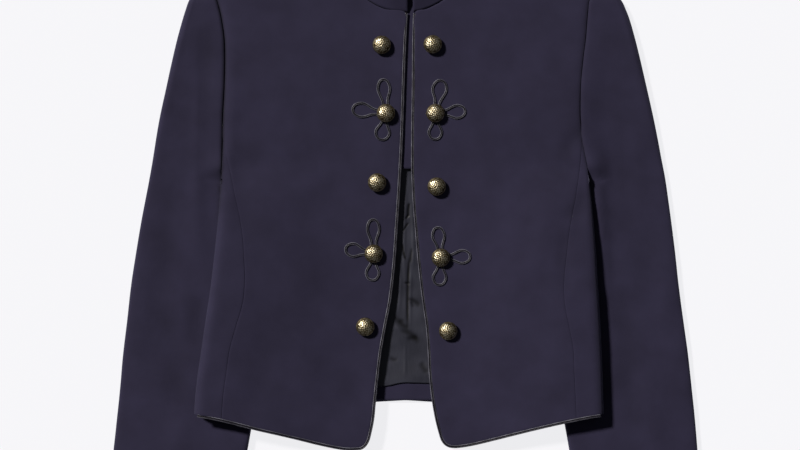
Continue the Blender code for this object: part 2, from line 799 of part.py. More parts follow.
def main():
    """Build every piece."""
    for obj in list(bpy.data.objects):
        bpy.data.objects.remove(obj, do_unlink=True)
    collection = bpy.data.collections.new("military_jacket")
    bpy.context.scene.collection.children.link(collection)
    cloth = material("wool_cloth", (0.027, 0.025, 0.038), 0.9)
    satin = material("satin_lining", (0.045, 0.045, 0.06), 0.4)
    trim = material("satin_cord", (0.035, 0.034, 0.046), 0.5)
    brass = material("aged_brass", (0.42, 0.33, 0.18), 0.38, 1.0)

    for side, sign in SIDES.items():
        sheet(f"back_{side}", back_grid(sign), CLOTH, cloth, -1)
        sheet(f"sleeve_under_{side}", sleeve_grid(sign, False), SLEEVE_CLOTH, cloth, -1)
        sheet(f"sleeve_upper_{side}", sleeve_grid(sign, True), SLEEVE_CLOTH, cloth, 1)
        sheet(f"side_front_{side}", side_front_grid(sign), CLOTH, cloth, 1)
        panel = sheet(f"front_{side}", front_grid(sign), CLOTH, cloth, 1)
        bpy.context.view_layer.update()
        build_trim(side, sign, surface_of(panel), trim, brass)
    sheet("collar", collar_grid(), SLEEVE_CLOTH, cloth, 1)
    build_inside(cloth, satin)
    centre_on_floor()


main()
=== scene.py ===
"""Military jacket laid flat on its back, dressed over its CAD frame.

The pattern's sizes are millimetres in the garment's own plan: x runs from the centre front towards the
wearer's left, y from the hem towards the collar, and z up from the floor.
"""
import sys
import logging
import math
from collections.abc import Callable
from dataclasses import dataclass
from enum import Enum
from functools import partial

import bpy
import numpy as np
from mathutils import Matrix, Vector
from mathutils.bvhtree import BVHTree


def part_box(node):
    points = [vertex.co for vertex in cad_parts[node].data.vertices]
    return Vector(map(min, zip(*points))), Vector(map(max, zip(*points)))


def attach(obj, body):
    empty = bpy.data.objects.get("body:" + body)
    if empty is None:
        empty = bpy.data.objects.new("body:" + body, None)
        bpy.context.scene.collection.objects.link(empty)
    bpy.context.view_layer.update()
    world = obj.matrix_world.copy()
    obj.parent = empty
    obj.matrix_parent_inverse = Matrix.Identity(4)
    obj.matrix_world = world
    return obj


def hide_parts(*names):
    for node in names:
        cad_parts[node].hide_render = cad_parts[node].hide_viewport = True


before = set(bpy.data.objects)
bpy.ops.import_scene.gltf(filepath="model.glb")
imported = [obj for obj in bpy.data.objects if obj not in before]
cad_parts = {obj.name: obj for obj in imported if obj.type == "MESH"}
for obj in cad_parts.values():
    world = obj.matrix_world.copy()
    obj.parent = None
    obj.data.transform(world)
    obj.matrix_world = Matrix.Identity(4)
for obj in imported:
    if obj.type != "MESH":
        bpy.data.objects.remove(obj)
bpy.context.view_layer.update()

MM = 0.001
SEAM_GAP = 0.3
HALF_GAP = SEAM_GAP / 2.0
BODY = "root"
# A height above the whole jacket, from which its surface is looked for
ABOVE_ALL = 100.0
# How far from a rolled edge the close rows come, and the shortest step between two rows
CLOSE_ROWS = (0.45, 1.0, 1.7, 2.6)
CLOSE_SHARE = 0.8
LEAST_ROW = 0.2
# A smooth line's cuts between two of its points, and the fewest stretches of an even path
LINE_CUTS = 8
LEAST_STRETCHES = 8

Table = tuple[tuple[float, ...], ...]
Point = tuple[float, float, float]
Rise = tuple[Vector, float]

log = logging.getLogger("jacket")


class Side(Enum):
    """The wearer's side; the value is the sign of x."""

    RIGHT = -1
    LEFT = 1

    @property
    def word(self) -> str:
        """The side's word in the names of nodes."""
        return self.name.lower()

    def column(self, right: int = 1, step: int = 1) -> int:
        """Column of a table that holds this side's numbers."""
        return right if self is Side.RIGHT else right + step


class Layer(Enum):
    """The sleeve's two sheets; the value is the way each one faces."""

    UPPER = 1
    UNDER = -1


def smoothstep(value: float) -> float:
    """Ease from 0 to 1."""
    value = min(max(value, 0.0), 1.0)
    return value * value * (3.0 - 2.0 * value)


def read(table: Table, where: float, column: int) -> float:
    """Value of a table's column, straight from row to row.

    Args:
        table: rows that start with their own place.
        where: the place to read.
        column: the column to read.

    Returns:
        The value there.
    """
    rows = sorted(table)
    return float(np.interp(where, [row[0] for row in rows], [row[column] for row in rows]))


def lengths_along(points: list[Vector]) -> np.ndarray:
    """Distance of each plan point from the first, along the line."""
    steps = [(b - a).length for a, b in zip(points, points[1:])]
    return np.concatenate(([0.0], np.cumsum(steps)))


def point_at(points: list[Vector], where: float) -> Vector:
    """Plan point at a distance along a line."""
    along = lengths_along(points)
    return Vector([float(np.interp(where, along, [p[axis] for p in points])) for axis in (0, 1)])


# How cloth turns over at a fold: inset from the fold line and rise, as shares of the fold's depth
FOLD = ((0.00, 0.00), (0.00, 0.20), (0.13, 0.50), (0.45, 0.85), (1.00, 1.00))


@dataclass(frozen=True)
class Pattern:
    """Plan outlines and heights of the laid jacket, shared by all its pieces.

    The tables' first column is y, or for the front hem the distance from the centre. The columns after it
    are the wearer's right and left, unless a comment says otherwise.
    """

    cloth: float = 2.4
    piping_inset: float = 2.7
    sleeve_thick: float = 8.0
    over_sleeve: float = 8.5
    shoulder_fold: float = 6.0
    shoulder_mid: float = 5.6
    neck_half: float = 73.0
    neck_point_y: float = 310.0
    front_drop: float = 77.0
    back_drop: float = 22.0
    shoulder_y: float = 264.6
    armpit_y: float = 66.0
    armhole_lift: float = 46.0
    armpit_ease: float = 2.4
    ease_from: float = 6.0
    ramp: float = 26.0
    ramp_clear: float = 8.0
    back_spread: float = 5.0
    rise_from: float = 45.0
    rise_end: float = 18.0
    head_blend: float = 26.0
    head_tip_from: float = 246.0
    head_tip_gap: float = 2.4
    head_tip_share: float = 0.6
    underarm_y: float = 56.0
    underarm_top: float = 9.2
    underarm_under: float = 3.8
    cuff_tilt: float = math.radians(8.0)
    tilt_from: float = -100.0
    cuff_y: float = -326.0
    corner_steps: int = 4
    corner_reach: tuple[float, float] = (3.4, -0.6)
    neck_angles_front: tuple[float, ...] = (18.0, 36.0, 54.0, 72.0)
    neck_turn_front: tuple[float, float] = (81.0, 89.999)
    neck_angles_back: tuple[float, ...] = (180.0, 150.0, 120.0)
    neck_turn_back: tuple[float, float] = (100.0, 90.0)
    back_hem: tuple[float, float] = (-187.0, -200.0)
    side_rows: Table = (
        (264.6, 214.4, 208.0), (246.0, 203.6, 198.5), (237.0, 200.9, 197.2), (228.0, 198.8, 196.2),
        (205.0, 195.4, 194.4), (180.0, 194.7, 191.4), (150.0, 195.4, 188.8), (120.0, 196.9, 188.4),
        (95.0, 197.3, 190.6), (78.0, 197.8, 193.8), (66.0, 198.2, 196.0), (56.0, 198.8, 197.6),
        (44.0, 199.6, 199.0), (30.0, 200.5, 200.6), (14.0, 201.7, 202.1), (-8.0, 203.8, 203.9),
        (-30.0, 206.1, 205.4), (-55.0, 208.9, 206.8), (-80.0, 212.3, 208.4), (-105.0, 216.2, 209.9),
        (-130.0, 219.7, 211.1), (-155.0, 223.4, 212.1), (-180.0, 226.3, 212.9), (-204.0, 227.6, 213.5),
    )
    edge_rows: Table = (
        (233.5, 2.7, 8.1), (205.0, 1.2, 7.3), (180.0, 0.1, 7.0), (154.0, -0.8, 6.8), (120.0, -1.9, 6.3),
        (84.0, -3.2, 6.0), (60.0, -4.5, 6.2), (30.0, -6.3, 7.6), (2.0, -8.1, 9.8), (-38.0, -10.9, 13.2),
        (-78.0, -15.4, 17.8), (-108.0, -21.1, 22.0), (-134.0, -25.7, 23.9), (-159.0, -28.8, 25.2),
        (-187.0, -31.8, 28.4), (-207.0, -33.8, 32.0), (-221.0, -36.6, 35.6),
    )
    hem_rows: Table = (
        (53.0, -240.0, -237.6), (62.0, -240.2, -236.8), (74.0, -238.6, -234.6), (95.0, -234.0, -229.4),
        (117.0, -228.3, -223.6), (137.0, -223.4, -218.4), (160.0, -217.9, -212.8),
        (182.0, -212.0, -207.9), (205.0, -206.5, -203.6), (229.0, -202.4, -202.0),
    )
    # y, height at the front edge, height at the side
    height_rows: Table = (
        (264.6, 11.5, 12.0), (150.0, 11.0, 14.0), (80.0, 10.6, 14.0), (66.0, 10.6, 14.0),
        (30.0, 10.6, 20.0), (-20.0, 10.6, 23.5), (-80.0, 11.0, 24.5), (-200.0, 14.0, 25.0),
        (-245.0, 14.5, 25.0),
    )
    # y, distance of the side-front seam from the side edge
    seam_rows: Table = (
        (95.0, 0.0), (78.0, 4.5), (66.0, 8.0), (30.0, 18.0), (0.0, 27.0), (-50.0, 36.0),
        (-88.0, 38.0), (-121.0, 31.0), (-153.0, 31.0), (-210.0, 30.0),
    )
    # y, right outer, left outer, top height
    head_rows: Table = (
        (262.0, 220.5, 214.5, 10.0), (256.0, 228.6, 224.0, 11.0), (246.0, 234.9, 234.4, 11.6),
        (237.0, 238.0, 238.6, 12.0), (228.0, 240.8, 242.2, 12.0), (205.0, 247.2, 248.8, 12.0),
        (180.0, 253.2, 255.0, 11.5), (150.0, 259.8, 262.0, 11.0), (120.0, 266.4, 268.8, 10.0),
        (95.0, 270.9, 274.0, 9.2), (78.0, 273.6, 277.2, 8.6), (66.0, 275.6, 279.6, 8.2),
    )
    # y, right inner, right outer, left inner, left outer
    arm_rows: Table = (
        (56.0, 198.0, 277.4, 196.8, 281.5), (44.0, 187.0, 279.6, 187.0, 283.4),
        (30.0, 171.0, 282.4, 172.0, 285.3), (8.0, 154.0, 286.6, 157.0, 288.3),
        (-24.0, 145.0, 291.9, 149.0, 292.3), (-60.0, 145.0, 297.5, 149.0, 296.2),
        (-100.0, 148.5, 302.0, 153.0, 301.5), (-140.0, 154.0, 306.7, 159.5, 306.9),
        (-180.0, 160.5, 310.0, 166.5, 311.0), (-220.0, 168.2, 314.0, 174.5, 314.8),
        (-255.0, 175.0, 317.5, 181.0, 317.4), (-290.0, 182.5, 320.6, 188.5, 319.8),
        (-326.0, 191.0, 324.0, 197.0, 322.6),
    )

    @property
    def stations(self) -> tuple[float, ...]:
        """Heights of the body's rows, from the hem up."""
        return tuple(row[0] for row in self.side_rows[1:-1])[::-1]

    def side_edge(self, y: float, side: Side) -> float:
        """Half-width of the body at a height."""
        return read(self.side_rows, y, side.column())

    def sleeve_inner(self, y: float, side: Side) -> float:
        """Half-width where the sleeve begins: the armhole, and below it the fold under the body."""
        if y >= self.armpit_y:
            tip = max(0.0, y - self.head_tip_from) / (self.shoulder_y - self.head_tip_from)
            return self.side_edge(y, side) + SEAM_GAP + self.head_tip_gap * tip
        armpit = (self.armpit_y, self.side_edge(self.armpit_y, side) + SEAM_GAP)
        below = tuple((row[0], row[side.column(step=2)]) for row in self.arm_rows)
        return read((armpit,) + below, y, 1)

    def front_top(self, x: float, y: float, side: Side, rise: float = 1.0) -> float:
        """Height of the fronts' top face; rise is below 1 where they turn down at the shoulder."""
        low = read(self.height_rows, y, 1)
        high = read(self.height_rows, y, 2)
        span = self.side_edge(y, side) - self.rise_end - self.rise_from
        plateau = low + (high - low) * smoothstep((abs(x) - self.rise_from) / span)
        end = self.shoulder_mid + HALF_GAP
        return end + (plateau - end) * rise

    def back_bottom(self, x: float, y: float, side: Side, rise: float = 1.0) -> float:
        """Height of the back's under face: on the floor, then up onto the sleeve."""
        reach = abs(x) - self.sleeve_inner(y, side) + self.ramp + self.ramp_clear
        lift = smoothstep((self.armpit_y + self.armhole_lift - y) / self.armhole_lift)
        end = self.shoulder_mid - HALF_GAP
        return end + (self.over_sleeve * smoothstep(reach / self.ramp) * lift - end) * rise

    def half_gap(self, y: float) -> float:
        """Half the gap between two sheets along a fold, wider where the fold begins at the armpit."""
        share = (y - self.ease_from) / (self.armpit_y - self.ease_from)
        return HALF_GAP + self.armpit_ease * min(max(share, 0.0), 1.0)

    def side_fold(self, y: float, side: Side) -> tuple[float, float]:
        """Radius and middle height of the fold at the body's side."""
        under = self.back_bottom(self.side_edge(y, side), y, side)
        top = read(self.height_rows, y, 2)
        return (top - under) / 2.0, (under + top) / 2.0

    def neck_point(self, degrees: float, side: Side, gap: float = 0.0) -> Vector:
        """Plan point of the neck seam; 0 is the centre front and 180 the centre back."""
        angle = math.radians(degrees)
        drop = self.front_drop if degrees < 90.0 else -self.back_drop
        x = side.value * (self.neck_half - gap) * math.sin(angle)
        return Vector((x, self.neck_point_y - drop * math.cos(angle) + gap))

    def shoulder_turn(self, points: list[Vector]) -> list[Rise]:
        """Points along the last stretch of a line that ends at the shoulder seam, each with its rise."""
        end = lengths_along(points)[-1]
        return [(point_at(points, end - a * self.shoulder_fold), b) for a, b in reversed(FOLD)]

    def front_outline(self, side: Side, inset: float) -> tuple[list[Vector], list[Vector]]:
        """Outline of a front, moved into the cloth.

        Args:
            side: the wearer's side.
            inset: how far the line is moved in.

        Returns:
            The edge from the neck to the hem corner, and the hem from there to the side fold.
        """
        edge = [Vector((row[side.column()], row[0])) for row in self.edge_rows]
        hem = [Vector((side.value * row[0], row[side.column()])) for row in self.hem_rows]
        reach_x, reach_y = self.corner_reach
        control = Vector((edge[-1].x + side.value * reach_x, hem[0].y + reach_y))
        corner = []
        for step in range(1, self.corner_steps):
            t = step / self.corner_steps
            corner.append(edge[-1] * (1 - t) ** 2 + control * 2 * t * (1 - t) + hem[0] * t**2)
        line = edge + corner + hem
        moved = []
        for i, point in enumerate(line):
            along = (line[min(i + 1, len(line) - 1)] - line[max(i - 1, 0)]).normalized()
            moved.append(point + Vector((-along.y, along.x)) * inset * side.value)
        middle = len(edge) + self.corner_steps // 2
        return moved[:middle], moved[middle - 1:]

    @staticmethod
    def hem_height(hem: list[Vector], x: float) -> float:
        """Height of the front hem at a plan x."""
        rows = sorted((abs(p.x), p.y) for p in hem)
        return float(np.interp(abs(x), [row[0] for row in rows], [row[1] for row in rows]))

    def seam_line(self, side: Side, hem: list[Vector]) -> list[Vector]:
        """Outer edge of a front, from the hem up the side-front seam and the armhole."""
        x = self.side_edge(self.side_rows[-1][0], side) - self.seam_rows[-1][1]
        line = [Vector((side.value * x, self.hem_height(hem, x)))]
        for y in self.stations:
            x = self.side_edge(y, side) - read(self.seam_rows, y, 1)
            line.append(Vector((side.value * x, y)))
        return line


def refine(grid: np.ndarray, marks: list[np.ndarray]) -> np.ndarray:
    """Smooth lines through a grid's points along its first axis.

    Args:
        grid: points by row and column.
        marks: for each stretch between two rows, the shares of it where new rows come.

    Returns:
        The finer grid, which passes through every given point.
    """
    ends = np.concatenate(([2 * grid[0] - grid[1]], grid, [2 * grid[-1] - grid[-2]]))
    steps = np.sqrt(np.maximum(np.linalg.norm(np.diff(ends, axis=0), axis=2), 1e-3))[..., None]
    rows = []
    for i, shares in enumerate(marks):
        p0, p1, p2, p3 = ends[i:i + 4]
        d0, d1, d2 = steps[i:i + 3]
        leave = d1 * ((p1 - p0) / d0 - (p2 - p0) / (d0 + d1) + (p2 - p1) / d1)
        reach = d1 * ((p2 - p1) / d1 - (p3 - p1) / (d1 + d2) + (p3 - p2) / d2)
        for t in shares:
            start = (1 + 2 * t) * (1 - t) ** 2 * p1 + t * (1 - t) ** 2 * leave
            rows.append(start + t * t * (3 - 2 * t) * p2 + t * t * (t - 1) * reach)
    rows.append(grid[-1])
    return np.array(rows)


def smooth_line(line: np.ndarray, cuts: int) -> np.ndarray:
    """Smooth line through points, with each stretch between two of them cut evenly."""
    return refine(line[:, None], [np.arange(cuts) / cuts] * (len(line) - 1))[:, 0]


def marks_for(grid: np.ndarray, spacing: float, fine: tuple[float, ...]) -> list[np.ndarray]:
    """Shares at which each stretch of a grid's first axis is cut.

    Args:
        grid: points by row and column.
        spacing: the longest step wanted.
        fine: how far the first and last edge turn down; 0 leaves an edge without close rows.

    Returns:
        The shares of each stretch.
    """
    lengths = np.linalg.norm(np.diff(grid, axis=0), axis=2).mean(axis=1)
    marks = []
    for i, length in enumerate(lengths):
        parts = max(1, round(length / spacing))
        shares = np.arange(parts) / parts
        close = np.array([row / length for row in CLOSE_ROWS if row < length * CLOSE_SHARE])
        if fine[0] and i == 0:
            shares = np.concatenate((shares, close))
        if fine[1] and i == len(lengths) - 1:
            shares = np.concatenate((shares, 1.0 - close))
        shares = np.sort(shares)
        keep = np.concatenate(([True], np.diff(shares) * length > LEAST_ROW))
        marks.append(shares[keep])
    return marks


def outward(grid: np.ndarray, facing: int) -> np.ndarray:
    """Unit normals of a grid whose middle looks up where facing is 1 and down where it is -1."""
    normal = np.cross(np.gradient(grid, axis=0), np.gradient(grid, axis=1))
    normal /= np.maximum(np.linalg.norm(normal, axis=2, keepdims=True), 1e-9)
    middle = normal[len(normal) // 2, normal.shape[1] // 2]
    return normal if middle[2] * facing > 0 else -normal


@dataclass(frozen=True)
class Crease:
    """A soft ridge, or a trough where the height is negative, along a slightly bowed line.

    Attributes:
        start: plan point of one end.
        end: plan point of the other end.
        width: half-width at which it has mostly died away.
        height: how far it lifts the cloth.
        bow: how far its middle stands off the straight line.
        shade: how much painted shade a trough gets, as a share of its depth.
    """

    start: tuple[float, float]
    end: tuple[float, float]
    width: float
    height: float
    bow: float = 0.0
    shade: float = 0.2

    reach = 0.95
    end_power = 6

    def lift(self, x: np.ndarray, y: np.ndarray) -> np.ndarray:
        """Height that it adds at plan points."""
        (ax, ay), (bx, by) = self.start, self.end
        length = math.hypot(bx - ax, by - ay)
        along = ((x - ax) * (bx - ax) + (y - ay) * (by - ay)) / length**2
        across = ((x - ax) * (by - ay) - (y - ay) * (bx - ax)) / length
        inside = np.clip(along, 0.0, 1.0)
        across = across - self.bow * 4.0 * inside * (1.0 - inside)
        ends = np.exp(-((2.0 * along - 1.0) / self.reach) ** self.end_power)
        return self.height * np.exp(-((across / self.width) ** 2)) * ends

    def hollow(self, x: np.ndarray, y: np.ndarray) -> np.ndarray:
        """How deep plan points lie in its trough, which sets how much painted shade they get."""
        return np.maximum(-self.lift(x, y), 0.0) * self.shade


def creases_from(*rows: tuple[float, ...]) -> tuple[Crease, ...]:
    """Creases from rows of start x and y, end x and y, width, height, bow and shade."""
    return tuple(Crease(row[:2], row[2:4], *row[4:]) for row in rows)


@dataclass(frozen=True)
class Swell:
    """Slow unevenness that all laid cloth has, as a few crossing waves.

    Attributes:
        size: wavelength of the longest wave.
        height: how far the cloth moves up or down at most.
        phase: sets one sheet's waves apart from another's.
    """

    size: float
    height: float
    phase: float = 0.0

    # Direction, how many times shorter than the longest wave, and share of the height
    waves = ((0.3, 1.0, 0.36), (1.35, 1.31, 0.28), (2.3, 1.73, 0.2), (2.9, 2.4, 0.16))
    phase_turn = 7.0
    stretch_turn = 3.0

    def lift(self, x: np.ndarray, y: np.ndarray) -> np.ndarray:
        """Height that it adds at plan points."""
        total = np.zeros_like(x)
        start = self.phase * self.phase_turn
        for turn, stretch, part in self.waves:
            step = 2.0 * math.pi * stretch / self.size
            wave = x * math.cos(turn + self.phase) + y * math.sin(turn + self.phase)
            total += part * np.sin(wave * step + start + stretch * self.stretch_turn)
        return self.height * total

    def hollow(self, x: np.ndarray, y: np.ndarray) -> np.ndarray:
        """It adds no painted shade."""
        return np.zeros_like(x)


@dataclass(frozen=True)
class Armhole:
    """The shallow valley in which the armhole seam lies, with a painted dark line along its ditch.

    Attributes:
        pattern: the jacket's pattern.
        side: the wearer's side.
        depth: how deep the valley is.
        width: how far the valley reaches from the seam.
        ditch: how much deeper the seam itself lies.
        ditch_width: half-width of that deeper line.
        dark_end: height at which the painted dark line has died away.
    """

    pattern: Pattern
    side: Side
    depth: float
    width: float
    ditch: float
    ditch_width: float = 1.9
    dark_end: float = 0.0

    armpit_fade = 20.0
    tip_fade = 24.0
    # How the painted dark line fades out below, and how strong it is
    dark_fade = 40.0
    dark_gain = 1.1

    def away(self, x: np.ndarray, y: np.ndarray) -> np.ndarray:
        """Distance of plan points from the seam."""
        rows = sorted(self.pattern.side_rows)
        edge = np.interp(y, [row[0] for row in rows], [row[self.side.column()] for row in rows])
        return np.abs(x) - edge

    def lift(self, x: np.ndarray, y: np.ndarray) -> np.ndarray:
        """Height that it adds at plan points."""
        away = self.away(x, y)
        above = np.clip((y - self.pattern.armpit_y) / self.armpit_fade, 0.0, 1.0)
        below_tip = np.clip((self.pattern.shoulder_y - y) / self.tip_fade, 0.0, 1.0)
        valley = self.depth * np.exp(-((away / self.width) ** 2))
        line = self.ditch * np.exp(-((away / self.ditch_width) ** 2))
        return -(valley + line) * above * below_tip

    def hollow(self, x: np.ndarray, y: np.ndarray) -> np.ndarray:
        """Painted shade along the seam's ditch; this painted dark line runs on below the armpit, where
        the valley has faded out.
        """
        ends = np.clip((y - self.dark_end) / self.dark_fade, 0.0, 1.0)
        line = self.ditch * np.exp(-((self.away(x, y) / self.ditch_width) ** 2))
        return self.dark_gain * line * ends


def garment_shift() -> Vector:
    """Where the pattern's origin lies in the frame, read off the underlap's box."""
    low, high = (Vector(corner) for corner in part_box("underlap"))
    middle = (low + high) / 2.0
    x, y = Inside.underlap_middle
    return Vector((middle.x - x * MM, middle.y - y * MM, 0.0))


def surface_of(obj: bpy.types.Object) -> BVHTree:
    """Search tree of an object's finished surface."""
    bpy.context.view_layer.update()
    return BVHTree.FromObject(obj, bpy.context.evaluated_depsgraph_get())


def top_of(surface: BVHTree, x: float, y: float, shift: Vector) -> float:
    """Height in metres of a surface above a plan point."""
    start = Vector((x, y, ABOVE_ALL)) * MM + shift
    return surface.ray_cast(start, Vector((0.0, 0.0, -1.0)))[0].z


def mesh_object(
    name: str, points: np.ndarray, faces: list[tuple[int, ...]], material: bpy.types.Material
) -> bpy.types.Object:
    """A smooth-shaded mesh object.

    Args:
        name: the piece's name.
        points: its corners in metres.
        faces: corner numbers of each face.
        material: its material.

    Returns:
        The object, linked to the scene.
    """
    mesh = bpy.data.meshes.new(name)
    mesh.from_pydata(points.tolist(), [], faces)
    mesh.shade_smooth()
    mesh.materials.append(material)
    obj = bpy.data.objects.new(name, mesh)
    bpy.context.scene.collection.objects.link(obj)
    return obj


def store(obj: bpy.types.Object, layer: str, values: np.ndarray) -> None:
    """Keep a number for each corner of a mesh, for its material to read."""
    made = obj.data.attributes.new(layer, "FLOAT", "POINT")
    made.data.foreach_set("value", values.astype(np.float32).ravel())


def end_faces(rows: int, columns: int) -> list[tuple[int, ...]]:
    """Faces that close the two ends of a tube of points that is counted row by row."""
    last = (rows - 1) * columns
    return [tuple(range(columns))[::-1], tuple(range(last, last + columns))]


def grid_faces(
    rows: int, columns: int, wrap: bool = False, close: bool = False
) -> list[tuple[int, ...]]:
    """Faces of a grid of points that is counted row by row.

    Args:
        rows: number of rows.
        columns: number of columns.
        wrap: whether the last column joins the first.
        close: whether the last row joins the first.

    Returns:
        The corner numbers of each four-sided face.
    """
    faces = []
    for j in range(rows if close else rows - 1):
        low, high = j * columns, (j + 1) % rows * columns
        for i in range(columns if wrap else columns - 1):
            k = (i + 1) % columns
            faces.append((low + i, low + k, high + k, high + i))
    return faces


@dataclass(frozen=True)
class Finish:
    """A material and a slot name."""

    material: bpy.types.Material
    slot: str

    def put_on(self, obj: bpy.types.Object, node: str) -> None:
        """Hang a piece on the body and hide the CAD part that it stands for."""
        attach(obj, BODY)
        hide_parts(node)


@dataclass
class ClothSheet:
    """One cut of cloth: a thin smooth shell through a grid of its outer points.

    Attributes:
        node: CAD node that it stands for.
        rows: outer points by row.
        wall: the cloth's thickness.
        facing: 1 where the outer face looks up, -1 where it looks down.
        finish: its finish.
        flat: width and length of the cut in metres; not used.
        area: the cut's flat area in square metres; not used.
        rests_on: the nodes whose pieces it lies on.
        reliefs: what lifts its surface.
        rolled: how far each edge turns down into its seam: first and last row, first and last column.
        spacing: distance between the finer points.
        roll_width: how far from an edge it begins to turn down.
        full_hollow: depth at which a hollow's painted shade is darkest.
    """

    node: str
    rows: list[list[Point]]
    wall: float
    facing: int
    finish: Finish
    flat: tuple[float, float]
    area: float
    rests_on: tuple[str, ...]
    reliefs: tuple[Crease | Swell | Armhole, ...] = ()
    rolled: tuple[float, float, float, float] = (0.8, 0.8, 0.8, 0.8)
    spacing: float = 4.0
    roll_width: float = 2.6
    full_hollow: float = 1.3

    # Mesh layer of painted shade in creases and seam ditches, which the materials darken by
    hollow_layer = "hollow"

    @staticmethod
    def name(node: str) -> str:
        """Name of the piece that stands for a node."""
        return f"{node}_cloth"

    def shape(self) -> tuple[np.ndarray, np.ndarray]:
        """Refine the outer points, roll the edges and put the reliefs in place.

        Returns:
            The grid, and how much painted shade each point gets from creases and seam ditches, from 0 to
            1.
        """
        grid = np.array([[tuple(point) for point in row] for row in self.rows], float)
        grid = refine(grid, marks_for(grid, self.spacing, self.rolled[:2]))
        grid = np.swapaxes(grid, 0, 1)
        grid = np.swapaxes(refine(grid, marks_for(grid, self.spacing, self.rolled[2:])), 0, 1)
        turned = np.zeros(grid.shape[:2])
        for axis in (0, 1):
            steps = np.linalg.norm(np.diff(grid, axis=axis), axis=2)
            from_first = np.insert(np.cumsum(steps, axis=axis), 0, 0.0, axis=axis)
            from_last = from_first.max(axis=axis, keepdims=True) - from_first
            for away, depth in zip((from_first, from_last), self.rolled[2 * axis:2 * axis + 2]):
                turned = np.maximum(turned, depth * np.clip(1.0 - away / self.roll_width, 0.0, 1.0) ** 2)
        grid = grid - outward(grid, self.facing) * turned[..., None]
        # Painted shade: add up how dark the reliefs paint each point
        hollow = np.zeros(grid.shape[:2])
        for relief in self.reliefs:
            hollow += relief.hollow(grid[..., 0], grid[..., 1])
            grid[..., 2] += relief.lift(grid[..., 0], grid[..., 1])
        grid[..., 2] = np.maximum(grid[..., 2], 0.0)
        return grid, np.clip(hollow / self.full_hollow, 0.0, 1.0)

    def build(self, shift: Vector) -> bpy.types.Object:
        """Make the sheet, give it its wall, hang it on the body and hide the CAD part that it stands for.

        Args:
            shift: where the pattern's origin lies in the frame.

        Returns:
            The finished object.
        """
        grid, hollow = self.shape()
        count, width = grid.shape[:2]
        faces = grid_faces(count, width)
        j, i = count // 2, width // 2
        middle = np.cross(grid[j, i + 1] - grid[j, i], grid[j + 1, i] - grid[j, i])
        if middle[2] * self.facing < 0:
            faces = [face[::-1] for face in faces]
        points = grid.reshape(-1, 3) * MM + np.array(shift)
        obj = mesh_object(self.name(self.node), points, faces, self.finish.material)
        # Painted shade: kept on the mesh for the materials to darken by
        store(obj, self.hollow_layer, hollow)
        shell = obj.modifiers.new("wall", "SOLIDIFY")
        shell.thickness = self.wall * MM
        shell.offset = -1.0
        self.finish.put_on(obj, self.node)
        under = [self.name(node) for node in self.rests_on]
        steps = np.linalg.norm(np.diff(grid, axis=1), axis=2).sum(axis=1).max()
        rises = np.linalg.norm(np.diff(grid, axis=0), axis=2).sum(axis=0).max()
        quads = np.cross(grid[1:, :-1] - grid[:-1, :-1], grid[:-1, 1:] - grid[:-1, :-1])
        size = np.linalg.norm(quads, axis=2).sum() / 1e6
        log.info("%s: %d faces, %.0f x %.0f mm, %.4f m2", obj.name, len(faces), steps, rises, size)
        return obj


def linear(code: str) -> tuple[float, float, float, float]:
    """Linear colour of an sRGB hex code."""
    parts = [int(code.lstrip("#")[i:i + 2], 16) / 255.0 for i in (0, 2, 4)]
    straight = [p / 12.92 if p <= 0.04045 else ((p + 0.055) / 1.055) ** 2.4 for p in parts]
    return (*straight, 1.0)


def add(
    tree: bpy.types.NodeTree,
    kind: str,
    options: dict[str, object] | None = None,
    values: dict[str | int, object] | None = None,
    links: dict[str | int, bpy.types.NodeSocket] | None = None,
) -> bpy.types.Node:
    """Add a node with its settings and links.

    Args:
        tree: the material's or world's node tree.
        kind: the node's type, without ShaderNode.
        options: the node's own settings.
        values: numbers and colours of its sockets.
        links: what feeds its sockets.

    Returns:
        The node.
    """
    node = tree.nodes.new(f"ShaderNode{kind}")
    for key, value in (options or {}).items():
        setattr(node, key, value)
    settle(node, values or {})
    for key, socket in (links or {}).items():
        tree.links.new(socket, node.inputs[key])
    return node


def settle(node: bpy.types.Node, values: dict[str | int, object]) -> None:
    """Set numbers and colours of a node's sockets."""
    for key, value in values.items():
        node.inputs[key].default_value = value


def new_material(name: str) -> tuple[bpy.types.Material, bpy.types.NodeTree, bpy.types.NodeSocket]:
    """A material with its tree and the place that its textures read."""
    made = bpy.data.materials.new(name)
    made.use_nodes = True
    return made, made.node_tree, add(made.node_tree, "TexCoord").outputs["Object"]


def feed_shader(
    tree: bpy.types.NodeTree,
    relief: bpy.types.NodeSocket,
    bump: tuple[float, float],
    links: dict[str, bpy.types.NodeSocket],
    values: dict[str, object],
) -> None:
    """Give a material's one shader its fine relief, its links and its constant values.

    Args:
        tree: the material's node tree.
        relief: height of the fine relief.
        bump: strength of that relief, and its height in millimetres.
        links: what feeds the shader's sockets.
        values: the shader's constant values.
    """
    shader = tree.nodes["Principled BSDF"]
    strength, height = bump
    fine = add(tree, "Bump", None, {"Strength": strength, "Distance": height * MM},
               {"Height": relief})
    for key, socket in (links | {"Normal": fine.outputs["Normal"]}).items():
        tree.links.new(socket, shader.inputs[key])
    settle(shader, values)


def per_metre(size: float) -> float:
    """Texture scale that gives a pattern of a size in millimetres."""
    return 1.0 / (size * MM)


def band_scale(width: float) -> float:
    """Scale of a diagonal wave texture whose bands lie a width in millimetres apart.

    The texture turns by 10 radians for each unit along x and along y.
    """
    return 2.0 * math.pi / (10.0 * math.sqrt(2.0)) * per_metre(width)


